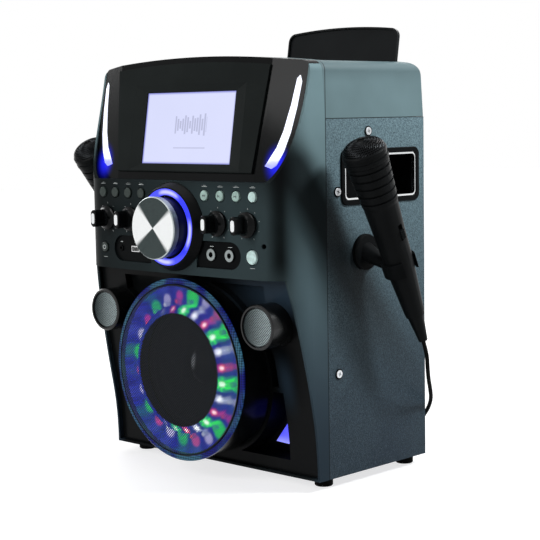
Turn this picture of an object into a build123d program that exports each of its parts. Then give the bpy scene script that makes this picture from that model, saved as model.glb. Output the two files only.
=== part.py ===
"""Free-standing karaoke machine: top-loading disc bay, lyric screen, lit speaker, two microphones.

+X is the right side as seen from the front, +Y runs to the rear and +Z is up. The origin lies
on the floor, under the middle of the machine. All sizes are in millimetres. A setback is a
distance behind the front of the light ring round the big dial.
"""
from build123d import *
import math
import os

os.makedirs("parts", exist_ok=True)

# ---------------------------------------------------------------- driving dimensions
# Whole machine
overall_depth = 288.8        # from the face of the big dial to the rear board
cabinet_width = 357.0
cabinet_depth = 181.0        # wooden box, from the seam behind the front housing to the rear
cabinet_height = 420.0       # wooden box, without its feet
foot_height = 12.0
foot_radius = 11.0
foot_inset = 22.0            # middle of a foot, in from the side
foot_front_inset = 14.0      # middle of a front foot, behind the seam
foot_rear_inset = 15.0
board = 12.0                 # thickness of the box's boards
rear_board = 9.0
wall = 3.0                   # thickness of the mouldings
seat = 0.3                   # gap where one moulding stands inside another
running_gap = 0.1            # radial gap of pins and shafts that turn

# Control panel
dial_reach = 21.2            # face of the dial, ahead of its light ring
ring_reach = 10.8            # light ring, ahead of the panel
panel_bow = 8.0              # how far the panel's middle stands ahead of its ends
corner_radius = 45.0         # upright corners of the front housing
panel_low = 250.0            # underside of the panel, where the speaker's arch begins
panel_high = 361.0           # height of the panel's upper edge
dial_height = 306.6
dial_radius = 37.2
dial_skirt_radius = 35.2
dial_cap = 8.0               # thickness of the dial's bright cap
ring_radius = 45.8           # outside of the light ring
ring_width = 7.6
ring_depth = 4.0
collar_radius = 53.0
collar_front_radius = 47.6
shaft_radius = 3.0
knob_x = (76.3, 122.4)
knob_height = 313.0
knob_reach = 25.0
knob_radius = 15.0
knob_grip_width = 9.4
knob_grip_height = 17.0
button_x = (55.5, 80.7, 105.8, 130.5)
button_height = 345.0
button_radius = 6.0
button_rim = 7.6             # radius of the sunk ring round a button
button_proud = 2.0
button_flange = 1.3          # overlap of the flange that keeps a button in its hole
low_row_height = 276.0       # sockets and the two lower buttons
power_x = -129.5
record_x = 128.5
record_radius = 8.0
sensor_x = 145.0
sensor_height = 289.0
sensor_radius = 3.0
inset_reach = 111.0          # outer end of a socket inset, from the middle
inset_start = 40.0           # inner end, hidden under the collar
inset_height = 32.0
inset_depth = 2.5
mic_jack_x = (63.2, 92.4)
mic_jack_radius = 7.0
mic_jack_bore = 3.25
aux_jack_x = -99.2
aux_jack_radius = 3.8
aux_jack_bore = 1.8
usb_x = -71.0
usb_width = 14.4
usb_height = 7.0
usb_shell = 0.8

# Head with the screen
lean = 9.2                   # degrees that the screen leans back
screen_width = 154.1         # visible picture of a 7-inch wide screen
screen_height = 86.6
screen_mid = 423.1           # height of the screen's middle
screen_setback = 40.0
screen_thickness = 8.0
bezel_proud = 4.5            # front of the bezel, ahead of the glass
frame_proud = 1.0            # front of the head frame, ahead of the glass
bezel_low = 370.0
bezel_corner_height = 494.0
bezel_bulge = 6.0            # rise of the bezel's curved upper edge
bezel_low_half = 117.0
bezel_high_half = 131.0
bevel_half = 96.0            # mouth of the bevelled opening
bevel_low = 372.0
bevel_high = 474.5
wing_low_setback = 33.0      # outer end of a wing at the panel's height
wing_high_setback = 68.0     # and at the crown's height
head_low_half = 119.0        # where the wings begin, low and high
head_high_half = 132.0
edge_low_setback = 20.0      # housing's edge beside the head: low, middle and high points
edge_mid_setback = 48.0
edge_mid_height = 431.0
edge_high_setback = 66.0
top_height = 507.5           # crown of the arched top
top_radius = 1515.0          # arch of the top, seen from the front
shoulder_radius = 12.0       # rounded upper corners, seen from the front
seam_lean = 6.2              # how far the seam comes forward over the top cover's height
strip_depth = 3.0            # thickness of the light guides
strip_proud = 0.6

# Speaker and its arch
arch_setback = 31.0          # arch edge under the panel
arch_knee_setback = 61.5     # where the straight edge turns into the foot's curve
arch_knee_height = 94.0
arch_foot_setback = 69.0
surround_shift = 6.0         # surround's face, behind the arch edge
surround_thickness = 16.0
recess_depth = 10.0
recess_half = 122.0
recess_low = 118.0
recess_high = 240.0
port_half = 127.0            # dark pockets beside the foot of the speaker
port_low = 30.0
port_high = 112.0
port_depth = 30.0
speaker_height = 132.8
speaker_setback = 12.9       # front of the grille
speaker_radius = 111.0
drum_radius = 108.0
drum_front = 16.5            # setbacks of the drum's front and of the flange inside it
drum_flange = 34.0
land_gap = 4.0               # surround's land, wider than the drum
drum_wall = 3.0
drum_lip = 5.5               # length of the drum's wide rim
lamp_inner = 76.5            # lit channel between the woofer and the drum
lamp_count = 24
lamp_circle = 82.5
lamp_radius = 3.2
cone_radius = 70.0
frame_radius = 79.6
woofer_hole = 81.5
magnet_radius = 42.0
grille_thickness = 1.4
pod_x = 133.8
pod_height = 195.8
pod_setback = 14.1
pod_radius = 26.5
pod_mesh_radius = 22.9
lamp_wedge_width = 23.0
lamp_wedge_height = 30.0
lamp_wedge_low = 49.0
lamp_wedge_setback = 76.0

# Disc bay in the top cover
bay_left = -24.0
bay_right = 163.0
bay_front = 97.0             # setbacks of the bay's front and rear walls
bay_rear = 243.0
bay_floor = 418.0
bay_ledge = 4.0
rear_corner_radius = 18.0
rear_lean = 6.0              # rear of the top cover leans forward by this much
disc_radius = 60.8           # well for a 120 mm disc
well_depth = 7.5
well_setback = 164.6
lid_width = 180.5
lid_x = 69.7                 # middle of the lid
lid_length = 124.4           # hinge axis to the middle of the curved free edge
lid_bulge = 5.4              # how far the free edge's middle passes its corners
lid_corner = 11.0
lid_lean = 9.5               # degrees past upright when open
lid_skin = 2.2
hinge_setback = 226.0
hinge_rise = 3.3             # hinge axis above the bay's floor
hinge_pin_radius = 1.25
hinge_barrel = 2.7
hinge_offset = 80.0          # middle of a hinge, from the lid's middle
hinge_knuckle = 9.0
hinge_lug = 4.0
spindle_radius = 13.0
hub_radius = 7.3             # fits the 15 mm hole of a disc
sled_reach = 33.0            # spindle to the middle of the sled at rest
sled_length = 20.0
sled_width = 24.0
sled_height = 7.0
sled_travel = 30.0
lens_radius = 3.3
lens_offset = 5.0            # lens, in from the sled's middle towards the spindle
slot_start = 20.5            # inner end of the sled's slot, from the spindle
slot_gap = 0.6               # slot's outer end, past the lens at the end of its travel
sled_top = 406.5
rod_radius = 1.5
rod_spread = 8.5
rod_height = 403.0
motor_radius = 16.5
motor_bottom = 394.0

# Side handles
handle_setback = 184.0
handle_mid = 363.5
handle_width = 144.4
handle_height = 65.0
handle_flange = 6.0
handle_depth = 34.0
handle_corner = 9.0
handle_lip = 2.0
trim_width = 2.2

# Screws and rear fittings
screw_radius = 4.4
screw_cup_radius = 5.6
screw_shank = 2.0
screw_spots = ((161.6, 416.5), (105.9, 347.5), (104.8, 134.9))
plate_width = 96.0
plate_height = 56.0
plate_mid = 110.0
inlet_width = 22.0
inlet_height = 14.0
inlet_x = 28.0
phono_x = (-34.0, -18.0, -2.0)
phono_radius = 5.0

# Microphones and their clips
mic_x = 226.0                # axis of either microphone, out from the machine's middle
mic_length = 253.0           # end of the tail to the rim of the head
clip_setback = 160.0
clip_height = 261.0
clip_length = 18.0
clip_bore = 17.9
clip_wall = 3.0
clip_mouth = 25.0
clip_arm_radius = 12.0
clip_neck_radius = 7.0
clip_disc_radius = 21.5
clip_disc_thickness = 6.0
clip_disc_setback = 152.5
clip_disc_height = 274.5
mic_tilts = {1: 24.9, -1: 32.4}      # degrees from upright, right and left
mic_reaches = {1: 103.0, -1: 94.3}   # end of the tail to the middle of the clip
head_radius = 26.0
head_band = 16.0             # height of the head's band, below the rim
head_dome = 13.0
# distances from the tail and radii of the body
mic_stations = ((36.0, 10.0), (36.0, 11.6), (41.0, 12.2), (108.0, 17.5), (137.0, 18.2))
mic_collar_low = (187.0, 21.5)
mic_collar_top = (236.7, 25.0)
tail_radius = 5.5
rib_count = 5
rib_gap = 2.4
rib_depth = 1.6
lead_depth = 12.0            # depth of the lead's hole in the tail
switch_middle = 145.0        # distance from the tail
switch_length = 11.0
switch_travel = 5.0
switch_width = 6.0
switch_floor = 14.6          # distance of the switch's bed from the axis
switch_top = 20.6

# Right microphone's lead. Its route: X, setback and height of each point
cord_radius = 2.5
cord_route = (
    (226.0, 199.2, 176.6),
    (226.0, 210.5, 152.2),
    (218.0, 222.0, 131.0),
    (207.0, 238.0, 113.0),
    (196.0, 256.0, 96.0),
    (184.0, 273.0, 79.0),
    (168.0, 283.0, 60.0),
    (148.0, 285.5, 40.0),
    (126.0, 283.5, 21.0),
    (102.0, 284.0, 8.5),
    (78.0, 281.5, 4.0),
    (58.0, 282.0, 2.6),
    (45.0, 282.0, 2.6),
)
coil_layers = 4
coil_half_turns = 7          # half turns of each layer of the lead's coil
coil_inner = 18.5            # radius of the innermost half turn
coil_gap = 0.8               # between turns of a layer
coil_layer_gap = 0.6
coil_end = 90.0              # lead between the coil and the plug, down to the floor
plug_radius = 7.6
plug_joint = 0.1             # gap between the lead's end and its plug
plug_rest = 0.1              # height of the plug's barrel over the floor
plug_barrel = 36.0
plug_tip_radius = 3.175
plug_tip = 30.0

# ---------------------------------------------------------------- places worked out from them
rear_y = overall_depth / 2
dial_face_y = -overall_depth / 2
ring_y = dial_face_y + dial_reach
panel_y = ring_y + ring_reach
seam_y = rear_y - cabinet_depth
half_width = cabinet_width / 2
inner_half = half_width - wall
cabinet_top = foot_height + cabinet_height
lean_tan = math.tan(math.radians(lean))
lean_cos = math.cos(math.radians(lean))


def behind(setback):
    """Y of a place that lies this far behind the light ring."""
    return ring_y + setback


def facing(y):
    """Upright plane at this Y that looks out of the front."""
    return Plane.XZ.offset(-y)


def panel_surface(x):
    """Y of the bowed control panel at this X."""
    return panel_y + panel_bow * (x / half_width) ** 2


def screen_plane(proud):
    """Leaning plane of the screen, this far in front of its glass."""
    glass = Plane(
        origin=(0, behind(screen_setback), screen_mid),
        x_dir=(1, 0, 0),
        z_dir=(0, -lean_cos, lean_cos * lean_tan),
    )
    return glass.offset(proud)


def along_screen(height):
    """Distance up the leaning screen from its middle to this height."""
    return (height - screen_mid) / lean_cos


def spin_axis(x, height):
    """Fore-and-aft axis at this place."""
    return Axis((x, 0, height), (0, 1, 0))


def dome_middle(radius, rise):
    """Radius and depth below the crown of the middle point of a spherical cap's arc."""
    ball = (radius**2 + rise**2) / (2 * rise)
    half_angle = math.asin(radius / ball) / 2
    return ball * math.sin(half_angle), ball * (1 - math.cos(half_angle))


def save(name, piece):
    """Label a finished piece and write it."""
    piece.label = name
    export_step(piece, f"parts/{name}.step")


# ---------------------------------------------------------------- shared outlines
def plan_outline(inset, level, front=-overall_depth):
    """The housing from above, at this level: bowed front, round corners, straight sides."""
    half = half_width - inset
    end_y = panel_y + panel_bow + inset
    with BuildSketch(Plane.XY.offset(level)) as plan:
        with BuildLine():
            ThreePointArc((-half, end_y), (0, panel_y + inset), (half, end_y))
            Polyline((half, end_y), (half, seam_y), (-half, seam_y), (-half, end_y))
        make_face()
        fillet(plan.vertices().group_by(Axis.Y)[0], corner_radius - inset)
        with Locations((0, (front + seam_y) / 2)):
            Rectangle(cabinet_width, seam_y - front, mode=Mode.INTERSECT)
    return plan.sketch


def front_outline(inset):
    """The machine from the front: straight sides, round shoulders and an arched top."""
    half = half_width - inset
    crown = top_height - inset
    shoulder = crown - half_width**2 / (2 * top_radius)
    with BuildSketch(Plane.XZ) as outline:
        with BuildLine():
            Polyline((-half, shoulder), (-half, 0), (half, 0), (half, shoulder))
            ThreePointArc((half, shoulder), (0, crown), (-half, shoulder))
        make_face()
        fillet(outline.vertices().group_by(Axis.Y)[-1], shoulder_radius - inset)
    return outline.sketch


def ahead_of_arch(shift, top):
    """Side view of the space ahead of the swept arch edge, with the edge moved back by shift."""
    slope = (arch_knee_setback - arch_setback) / (panel_low - arch_knee_height)
    top_setback = arch_setback - slope * (top - panel_low)
    knee = (behind(arch_knee_setback + shift), arch_knee_height)
    with BuildSketch(Plane.YZ) as side:
        with BuildLine():
            Line((-overall_depth, top), (behind(top_setback + shift), top))
            edge = Line((behind(top_setback + shift), top), knee)
            foot = TangentArc(knee, (behind(arch_foot_setback + shift), 0), tangent=edge % 1)
            Polyline(foot @ 1, (-overall_depth, 0), (-overall_depth, top))
        make_face()
    return side.sketch


def seam_side(gap, low):
    """Side view of the space ahead of the seam over the box, clear of it by gap."""
    crown = top_height + 5
    lean_in = seam_lean * (crown - cabinet_top) / (top_height - cabinet_top)
    with BuildSketch(Plane.YZ) as side:
        with BuildLine():
            Polyline(
                (-overall_depth, low),
                (seam_y - gap, low),
                (seam_y - gap, cabinet_top),
                (seam_y - gap - lean_in, crown),
                (-overall_depth, crown),
                (-overall_depth, low),
            )
        make_face()
    return side.sketch


def stadium(start, reach, height, mid, grow, side):
    """Socket inset from the front: square inner end, round outer end, grown by grow."""
    radius = height / 2 + grow
    middle = reach - height / 2
    with BuildSketch(Plane.XZ) as shape:
        with Locations((side * middle, mid)):
            Circle(radius)
        with Locations((side * (start - grow + middle) / 2, mid)):
            Rectangle(middle - start + grow, 2 * radius)
    return shape.sketch


# ---------------------------------------------------------------- front housing
with BuildPart() as front_housing:
    extrude(plan_outline(0, foot_height), top_height + 5 - foot_height)
    extrude(front_outline(0), cabinet_width, both=True, mode=Mode.INTERSECT)
    extrude(seam_side(0, 0), cabinet_width, both=True, mode=Mode.INTERSECT)
    # edge beside the head
    with BuildSketch(Plane.YZ):
        with BuildLine():
            ThreePointArc(
                (behind(edge_low_setback), panel_high),
                (behind(edge_mid_setback), edge_mid_height),
                (behind(edge_high_setback), top_height + 5),
            )
            Polyline(
                (behind(edge_high_setback), top_height + 5),
                (-overall_depth, top_height + 5),
                (-overall_depth, panel_high),
                (behind(edge_low_setback), panel_high),
            )
        make_face()
    extrude(amount=cabinet_width, both=True, mode=Mode.SUBTRACT)
    # arch over the speaker
    extrude(ahead_of_arch(0, panel_low), cabinet_width, both=True, mode=Mode.SUBTRACT)
    # hollow, with a shelf and a ledge left inside the panel
    low = foot_height + wall
    extrude(plan_outline(wall, low), panel_low - low, mode=Mode.SUBTRACT)
    extrude(plan_outline(wall, panel_low, behind(45)), wall, mode=Mode.SUBTRACT)
    low = panel_low + wall
    extrude(plan_outline(wall, low), panel_high - wall - low, mode=Mode.SUBTRACT)
    extrude(plan_outline(wall, panel_high - wall, behind(40)), wall, mode=Mode.SUBTRACT)
    extrude(plan_outline(wall, panel_high), top_height, mode=Mode.SUBTRACT)
    # seat of the collar and hole for the dial's shaft
    with BuildSketch(facing(-overall_depth)):
        with Locations((0, dial_height)):
            Circle(collar_radius + seat)
    extrude(amount=-(panel_y + 1.2 + overall_depth), mode=Mode.SUBTRACT)
    with BuildSketch(facing(panel_y - 1)):
        with Locations((0, dial_height)):
            Circle(shaft_radius + running_gap)
        for x in knob_x:
            with Locations((x, knob_height), (-x, knob_height)):
                Circle(shaft_radius + running_gap)
        for x in button_x:
            with Locations((x, button_height), (-x, button_height)):
                Circle(button_radius + running_gap)
        with Locations((power_x, low_row_height)):
            Circle(button_radius + running_gap)
        with Locations((record_x, low_row_height)):
            Circle(record_radius + running_gap)
        with Locations((sensor_x, sensor_height)):
            Circle(sensor_radius)
    extrude(amount=-(panel_bow + wall + 4), mode=Mode.SUBTRACT)
    # sunk rings round the buttons
    for x in (-button_x[3], -button_x[2], -button_x[1], -button_x[0], *button_x):
        with BuildSketch(facing(panel_surface(x) + 1.2)):
            with Locations((x, button_height)):
                Circle(button_rim)
        extrude(amount=10, mode=Mode.SUBTRACT)
    for x, rim in ((power_x, button_rim), (record_x, record_radius + 1.6)):
        with BuildSketch(facing(panel_surface(x) + 1.2)):
            with Locations((x, low_row_height)):
                Circle(rim)
        extrude(amount=10, mode=Mode.SUBTRACT)
    # openings for the socket insets
    for side in (-1, 1):
        hole = stadium(inset_start, inset_reach, inset_height, low_row_height, 0, side)
        extrude(hole, overall_depth, mode=Mode.SUBTRACT)

save("front_housing", front_housing.part)

# ---------------------------------------------------------------- wooden box and its fittings
box_mid_y = (seam_y + rear_y) / 2
box_mid_z = foot_height + cabinet_height / 2
mouth_width = handle_width - 2 * handle_flange
mouth_height = handle_height - 2 * handle_flange
handle_y = behind(handle_setback)

with BuildPart() as cabinet:
    with Locations((0, box_mid_y, box_mid_z)):
        Box(cabinet_width, cabinet_depth, cabinet_height)
        Box(
            cabinet_width - 2 * board,
            cabinet_depth + 2,
            cabinet_height - 2 * board,
            mode=Mode.SUBTRACT,
        )
    # opening of the disc bay in the upper board
    with BuildSketch(Plane.XY.offset(cabinet_top + 1)):
        with Locations(((bay_left + bay_right) / 2, behind((bay_front + bay_rear) / 2))):
            Rectangle(bay_right - bay_left + 2 * wall + 1, bay_rear - bay_front + 2 * wall + 1)
    extrude(amount=-(board + 2), mode=Mode.SUBTRACT)
    # openings of the carrying handles
    with BuildSketch(Plane.YZ):
        with Locations((handle_y, handle_mid)):
            RectangleRounded(mouth_width + 5.4, mouth_height + 5.4, handle_corner)
    extrude(amount=cabinet_width, both=True, mode=Mode.SUBTRACT)
    # pilot holes
    with BuildSketch(Plane.YZ):
        for setback, height in screw_spots:
            with Locations((behind(setback), height)):
                Circle(screw_shank + 0.05)
    extrude(amount=cabinet_width, both=True, mode=Mode.SUBTRACT)
save("cabinet", cabinet.part)

with BuildPart() as cabinet_screws:
    for side in (-1, 1):
        for setback, height in screw_spots:
            y = behind(setback)
            face = side * (half_width + 0.1)
            out = Plane(origin=(face, y, height), x_dir=(0, 1, 0), z_dir=(side, 0, 0))
            with BuildSketch(out):
                Circle(screw_cup_radius)
            extrude(amount=0.9, taper=30)
            with BuildSketch(out.offset(0.9)):
                Circle(screw_radius)
            extrude(amount=0.8, taper=25)
            with BuildSketch(out.offset(1.7)):
                Rectangle(4.6, 1.0)
                Rectangle(1.0, 4.6)
            extrude(amount=-1.0, mode=Mode.SUBTRACT)
            with BuildSketch(out):
                Circle(screw_shank)
            extrude(amount=-9)
save("cabinet_screws", cabinet_screws.part)

with BuildPart() as feet:
    for x in (-half_width + foot_inset, half_width - foot_inset):
        for y in (seam_y + foot_front_inset, rear_y - foot_rear_inset):
            with BuildSketch(Plane.XY):
                with Locations((x, y)):
                    Circle(foot_radius)
            extrude(amount=foot_height - 0.1)
            base = feet.edges().group_by(Axis.Z)[0].sort_by_distance((x, y, 0))[0]
            chamfer(base, 1.2)
save("feet", feet.part)

with BuildPart() as back_panel:
    with Locations((0, rear_y - rear_board / 2, box_mid_z)):
        Box(
            cabinet_width - 2 * board - 0.6,
            rear_board,
            cabinet_height - 2 * board - 0.6,
        )
    with Locations((0, rear_y - rear_board / 2, plate_mid)):
        Box(plate_width - 8, rear_board + 2, plate_height - 8, mode=Mode.SUBTRACT)
    with Locations((0, rear_y, plate_mid)):
        Box(plate_width + 0.6, 6.6, plate_height + 0.6, mode=Mode.SUBTRACT)
    # air slots
    for row in range(6):
        with Locations((0, rear_y - rear_board / 2, 300 + 12 * row)):
            Box(120, rear_board + 2, 5, mode=Mode.SUBTRACT)
save("back_panel", back_panel.part)

with BuildPart() as rear_connectors:
    with Locations((0, rear_y - 1.5, plate_mid)):
        Box(plate_width, 3, plate_height)
    with Locations((inlet_x, rear_y - 9, plate_mid)):
        Box(inlet_width + 3, 18, inlet_height + 3)
        Box(inlet_width, 19, inlet_height, mode=Mode.SUBTRACT)
    with Locations((inlet_x, rear_y - 17, plate_mid)):
        Box(inlet_width, 2, inlet_height)
    with BuildSketch(facing(rear_y - 4)):
        with Locations((inlet_x - 4.3, plate_mid), (inlet_x + 4.3, plate_mid)):
            Circle(1.2)
    extrude(amount=13)
    with BuildSketch(facing(rear_y)):
        for x in phono_x:
            with Locations((x, plate_mid)):
                Circle(phono_radius + 1.5)
    extrude(amount=12)
    with BuildSketch(facing(rear_y)):
        for x in phono_x:
            with Locations((x, plate_mid)):
                Circle(phono_radius)
    extrude(amount=10, mode=Mode.SUBTRACT)
    with BuildSketch(facing(rear_y - 1)):
        for x in phono_x:
            with Locations((x, plate_mid)):
                Circle(phono_radius - 1.2)
                Circle(1.6, mode=Mode.SUBTRACT)
    extrude(amount=10)
save("rear_connectors", rear_connectors.part)

with BuildPart() as handle_cup_right:
    with BuildSketch(Plane.YZ.offset(half_width + 0.1)):
        with Locations((handle_y, handle_mid)):
            RectangleRounded(handle_width, handle_height, handle_corner)
    extrude(amount=handle_lip)
    chamfer(handle_cup_right.edges().group_by(Axis.X)[-1], 0.8)
    with BuildSketch(Plane.YZ.offset(half_width + 0.1)):
        with Locations((handle_y, handle_mid)):
            RectangleRounded(mouth_width + 4.8, mouth_height + 4.8, handle_corner)
    extrude(amount=-handle_depth)
    with BuildSketch(Plane.YZ.offset(half_width + 0.1 + handle_lip)):
        with Locations((handle_y, handle_mid)):
            RectangleRounded(mouth_width, mouth_height, handle_corner - 2.4)
    extrude(amount=-(handle_depth + handle_lip - 2.4), mode=Mode.SUBTRACT)
save("handle_cup_right", handle_cup_right.part)

with BuildPart() as handle_cup_left:
    mirror(handle_cup_right.part, about=Plane.YZ)
save("handle_cup_left", handle_cup_left.part)

with BuildPart() as handle_trims:
    with BuildSketch(Plane.YZ.offset(half_width + 1.2)):
        with Locations((handle_y, handle_mid)):
            RectangleRounded(mouth_width - 0.5, mouth_height - 0.5, handle_corner - 2.6)
            RectangleRounded(
                mouth_width - 2 * trim_width,
                mouth_height - 2 * trim_width,
                handle_corner - 4,
                mode=Mode.SUBTRACT,
            )
    extrude(amount=-6)
    mirror(about=Plane.YZ)
save("handle_trims", handle_trims.part)

# ---------------------------------------------------------------- top cover with the disc bay
arch_mid = (0, 0, top_height - top_radius)
bay_mid_x = (bay_left + bay_right) / 2
bay_mid_y = behind((bay_front + bay_rear) / 2)
bay_x = bay_right - bay_left
bay_y = bay_rear - bay_front


def cover_block(inset, low, front, corner):
    """Top cover's solid form: its side view turned about the far axis of the arch."""
    crown = top_height - inset
    back = rear_y - inset
    slope = rear_lean / (crown - cabinet_top)
    with BuildSketch(Plane.YZ) as side:
        with BuildLine():
            Polyline(
                (front, low - 30),
                (back, low - 30),
                (back, cabinet_top),
                (back - slope * (crown - cabinet_top), crown),
                (front, crown),
                (front, low - 30),
            )
        make_face()
        fillet(side.vertices().sort_by_distance((back, crown, 0))[0:1], corner)
    turned = revolve(side.sketch, Axis(arch_mid, (0, 1, 0)), 16, mode=Mode.PRIVATE)
    turned = turned.rotate(Axis(arch_mid, (0, 1, 0)), -8)
    keep = Box(600, 600, 300, mode=Mode.PRIVATE).locate(Location((0, 0, low + 150)))
    slab = extrude(front_outline(inset), 300, both=True, mode=Mode.PRIVATE)
    return turned & keep & slab


with BuildPart() as top_cover:
    add(cover_block(0, cabinet_top + 0.1, seam_y - 20, rear_corner_radius))
    ahead = extrude(seam_side(0, 0), cabinet_width, both=True, mode=Mode.PRIVATE)
    add(ahead, mode=Mode.SUBTRACT)
    hollow = cover_block(wall, cabinet_top - 5, seam_y - 30, rear_corner_radius - wall)
    add(hollow, mode=Mode.SUBTRACT)
    # walls of the bay
    tub = Box(
        bay_x + 2 * wall,
        bay_y + 2 * wall,
        200,
        align=(Align.CENTER, Align.CENTER, Align.MIN),
        mode=Mode.PRIVATE,
    ).locate(Location((bay_mid_x, bay_mid_y, bay_floor - wall - 3)))
    add(tub & cover_block(1.0, bay_floor - wall - 3, seam_y - 20, rear_corner_radius - 1))
    with Locations((bay_mid_x, bay_mid_y, bay_floor - wall + 100)):
        Box(bay_x, bay_y, 200, mode=Mode.SUBTRACT)
    with Locations((bay_mid_x, bay_mid_y, bay_floor - wall)):
        Box(bay_x - 2 * bay_ledge, bay_y - 2 * bay_ledge, 20, mode=Mode.SUBTRACT)
save("top_cover", top_cover.part)

hinge_y = behind(hinge_setback)
hinge_z = bay_floor + hinge_rise
well_y = behind(well_setback)
motor_top = bay_floor - 11
slot_end = sled_reach - lens_offset + sled_travel + lens_radius + slot_gap

with BuildPart() as disc_deck:
    with Locations((bay_mid_x, bay_mid_y, bay_floor - wall / 2 + 0.05)):
        Box(bay_x - 0.6, bay_y - 0.6, wall - 0.1)
    with Locations((lid_x, well_y, bay_floor - 5)):
        Cylinder(disc_radius + 2.4, 10)
    with Locations((lid_x, well_y, bay_floor - well_depth + 10)):
        Cylinder(disc_radius, 20, mode=Mode.SUBTRACT)
    # motor under the hub
    with Locations((lid_x, well_y, (motor_bottom + bay_floor - 9) / 2)):
        Cylinder(motor_radius, bay_floor - 9 - motor_bottom)
    with Locations((lid_x, well_y, motor_top + 10)):
        Cylinder(spindle_radius + 1, 20, mode=Mode.SUBTRACT)
    with Locations((lid_x, well_y, motor_top)):
        Cylinder(2.1, 22, mode=Mode.SUBTRACT)
    # slot for the pickup and the lugs of its rods
    with Locations((lid_x + (slot_start + slot_end) / 2, well_y, bay_floor - 6)):
        Box(slot_end - slot_start, 14, 14, mode=Mode.SUBTRACT)
    with Locations((lid_x + 19.5, well_y, (399.5 + 408.5) / 2)):
        Box(3, 26, 9)
    with Locations((lid_x + 76.5, well_y, (399.5 + 415.5) / 2)):
        Box(3, 26, 16)
    with BuildSketch(Plane.YZ.offset(lid_x + 17.5)):
        with Locations((well_y - rod_spread, rod_height), (well_y + rod_spread, rod_height)):
            Circle(rod_radius + 0.05)
    extrude(amount=58.5, mode=Mode.SUBTRACT)
    # lugs for the pins of the lid
    for side in (-1, 1):
        x = lid_x + side * (hinge_offset + hinge_knuckle / 2 + 0.3)
        lug = Plane(origin=(x, 0, 0), x_dir=(0, side, 0), z_dir=(side, 0, 0))
        with BuildSketch(lug):
            with Locations((side * hinge_y, hinge_z)):
                Circle(hinge_barrel)
            with Locations((side * hinge_y, (bay_floor - 0.5 + hinge_z) / 2)):
                Rectangle(2 * hinge_barrel, hinge_rise + 0.5)
            with Locations((side * hinge_y, hinge_z)):
                Circle(hinge_pin_radius + 0.02, mode=Mode.SUBTRACT)
        extrude(amount=hinge_lug)
save("disc_deck", disc_deck.part)

with BuildPart() as lid_hinge_pins:
    for side in (-1, 1):
        x = lid_x + side * (hinge_offset - hinge_knuckle / 2 - 0.2)
        with BuildSketch(Plane(origin=(x, 0, 0), x_dir=(0, side, 0), z_dir=(side, 0, 0))):
            with Locations((side * hinge_y, hinge_z)):
                Circle(hinge_pin_radius)
        extrude(amount=hinge_knuckle + hinge_lug + 0.5)
save("lid_hinge_pins", lid_hinge_pins.part)

with BuildPart() as disc_spindle:
    with Locations((lid_x, well_y, bay_floor - 7.75)):
        Cylinder(spindle_radius, 3.5)
    with Locations((lid_x, well_y, bay_floor - 4.25)):
        Cylinder(hub_radius, 5.5)
    chamfer(disc_spindle.edges().group_by(Axis.Z)[-1], 0.8)
    with Locations((lid_x, well_y, bay_floor - 15)):
        Cylinder(2.0, 11.5)
save("disc_spindle", disc_spindle.part)

with BuildPart() as laser_sled:
    with Locations((lid_x + sled_reach, well_y, sled_top - sled_height / 2)):
        Box(sled_length, sled_width, sled_height)
    with BuildSketch(Plane.YZ.offset(lid_x)):
        with Locations((well_y - rod_spread, rod_height), (well_y + rod_spread, rod_height)):
            Circle(rod_radius + running_gap / 2)
    extrude(amount=60, mode=Mode.SUBTRACT)
    with Locations((lid_x + sled_reach - lens_offset, well_y, sled_top + 1.4)):
        Cylinder(lens_radius, 3)
save("laser_sled", laser_sled.part)

with BuildPart() as sled_rods:
    with BuildSketch(Plane.YZ.offset(lid_x + 18.2)):
        with Locations((well_y - rod_spread, rod_height), (well_y + rod_spread, rod_height)):
            Circle(rod_radius)
    extrude(amount=57.5)
save("sled_rods", sled_rods.part)

# ---------------------------------------------------------------- open lid of the disc bay
lid_sin = math.sin(math.radians(lid_lean))
lid_cos = math.cos(math.radians(lid_lean))
lid_plane = Plane(
    origin=(lid_x, hinge_y, hinge_z),
    x_dir=(1, 0, 0),
    z_dir=(0, -lid_cos, lid_sin),
)
lid_back = lid_skin - 0.6
lid_half = lid_width / 2
lid_edge = lid_length - lid_bulge


def lid_shape(inset, start):
    """Lid seen square on: straight hinge side, curved free edge, round corners."""
    half = lid_half - inset
    with BuildSketch(lid_plane) as shape:
        with BuildLine():
            Polyline((-half, lid_edge - inset), (-half, start), (half, start), (half, lid_edge - inset))
            ThreePointArc((half, lid_edge - inset), (0, lid_length - inset), (-half, lid_edge - inset))
        make_face()
        fillet(shape.vertices().sort_by(Axis.Y)[-2:], lid_corner - inset)
    return shape.sketch


with BuildPart() as disc_lid:
    extrude(lid_shape(0, 3.4), 3.0)
    extrude(lid_shape(0, 3.4), -lid_back)
    inner = lid_shape(2.3, 0)
    shifted = inner.moved(Location(lid_plane.z_dir * 0.6))
    extrude(shifted, 10, mode=Mode.SUBTRACT)
    for side in (-1, 1):
        x = lid_x + side * hinge_offset - hinge_knuckle / 2
        with BuildSketch(Plane.YZ.offset(x)):
            with Locations((hinge_y, hinge_z)):
                Circle(hinge_barrel)
        extrude(amount=hinge_knuckle)
        with Locations(lid_plane.location * Location((side * hinge_offset, 3.4, -0.5))):
            Box(hinge_knuckle, 4.4, 2.2)
        with BuildSketch(Plane.YZ.offset(x - 1)):
            with Locations((hinge_y, hinge_z)):
                Circle(hinge_pin_radius + running_gap)
        extrude(amount=hinge_knuckle + 2, mode=Mode.SUBTRACT)
save("disc_lid", disc_lid.part)

# ---------------------------------------------------------------- head with the screen
head_half = inner_half - seat


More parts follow.
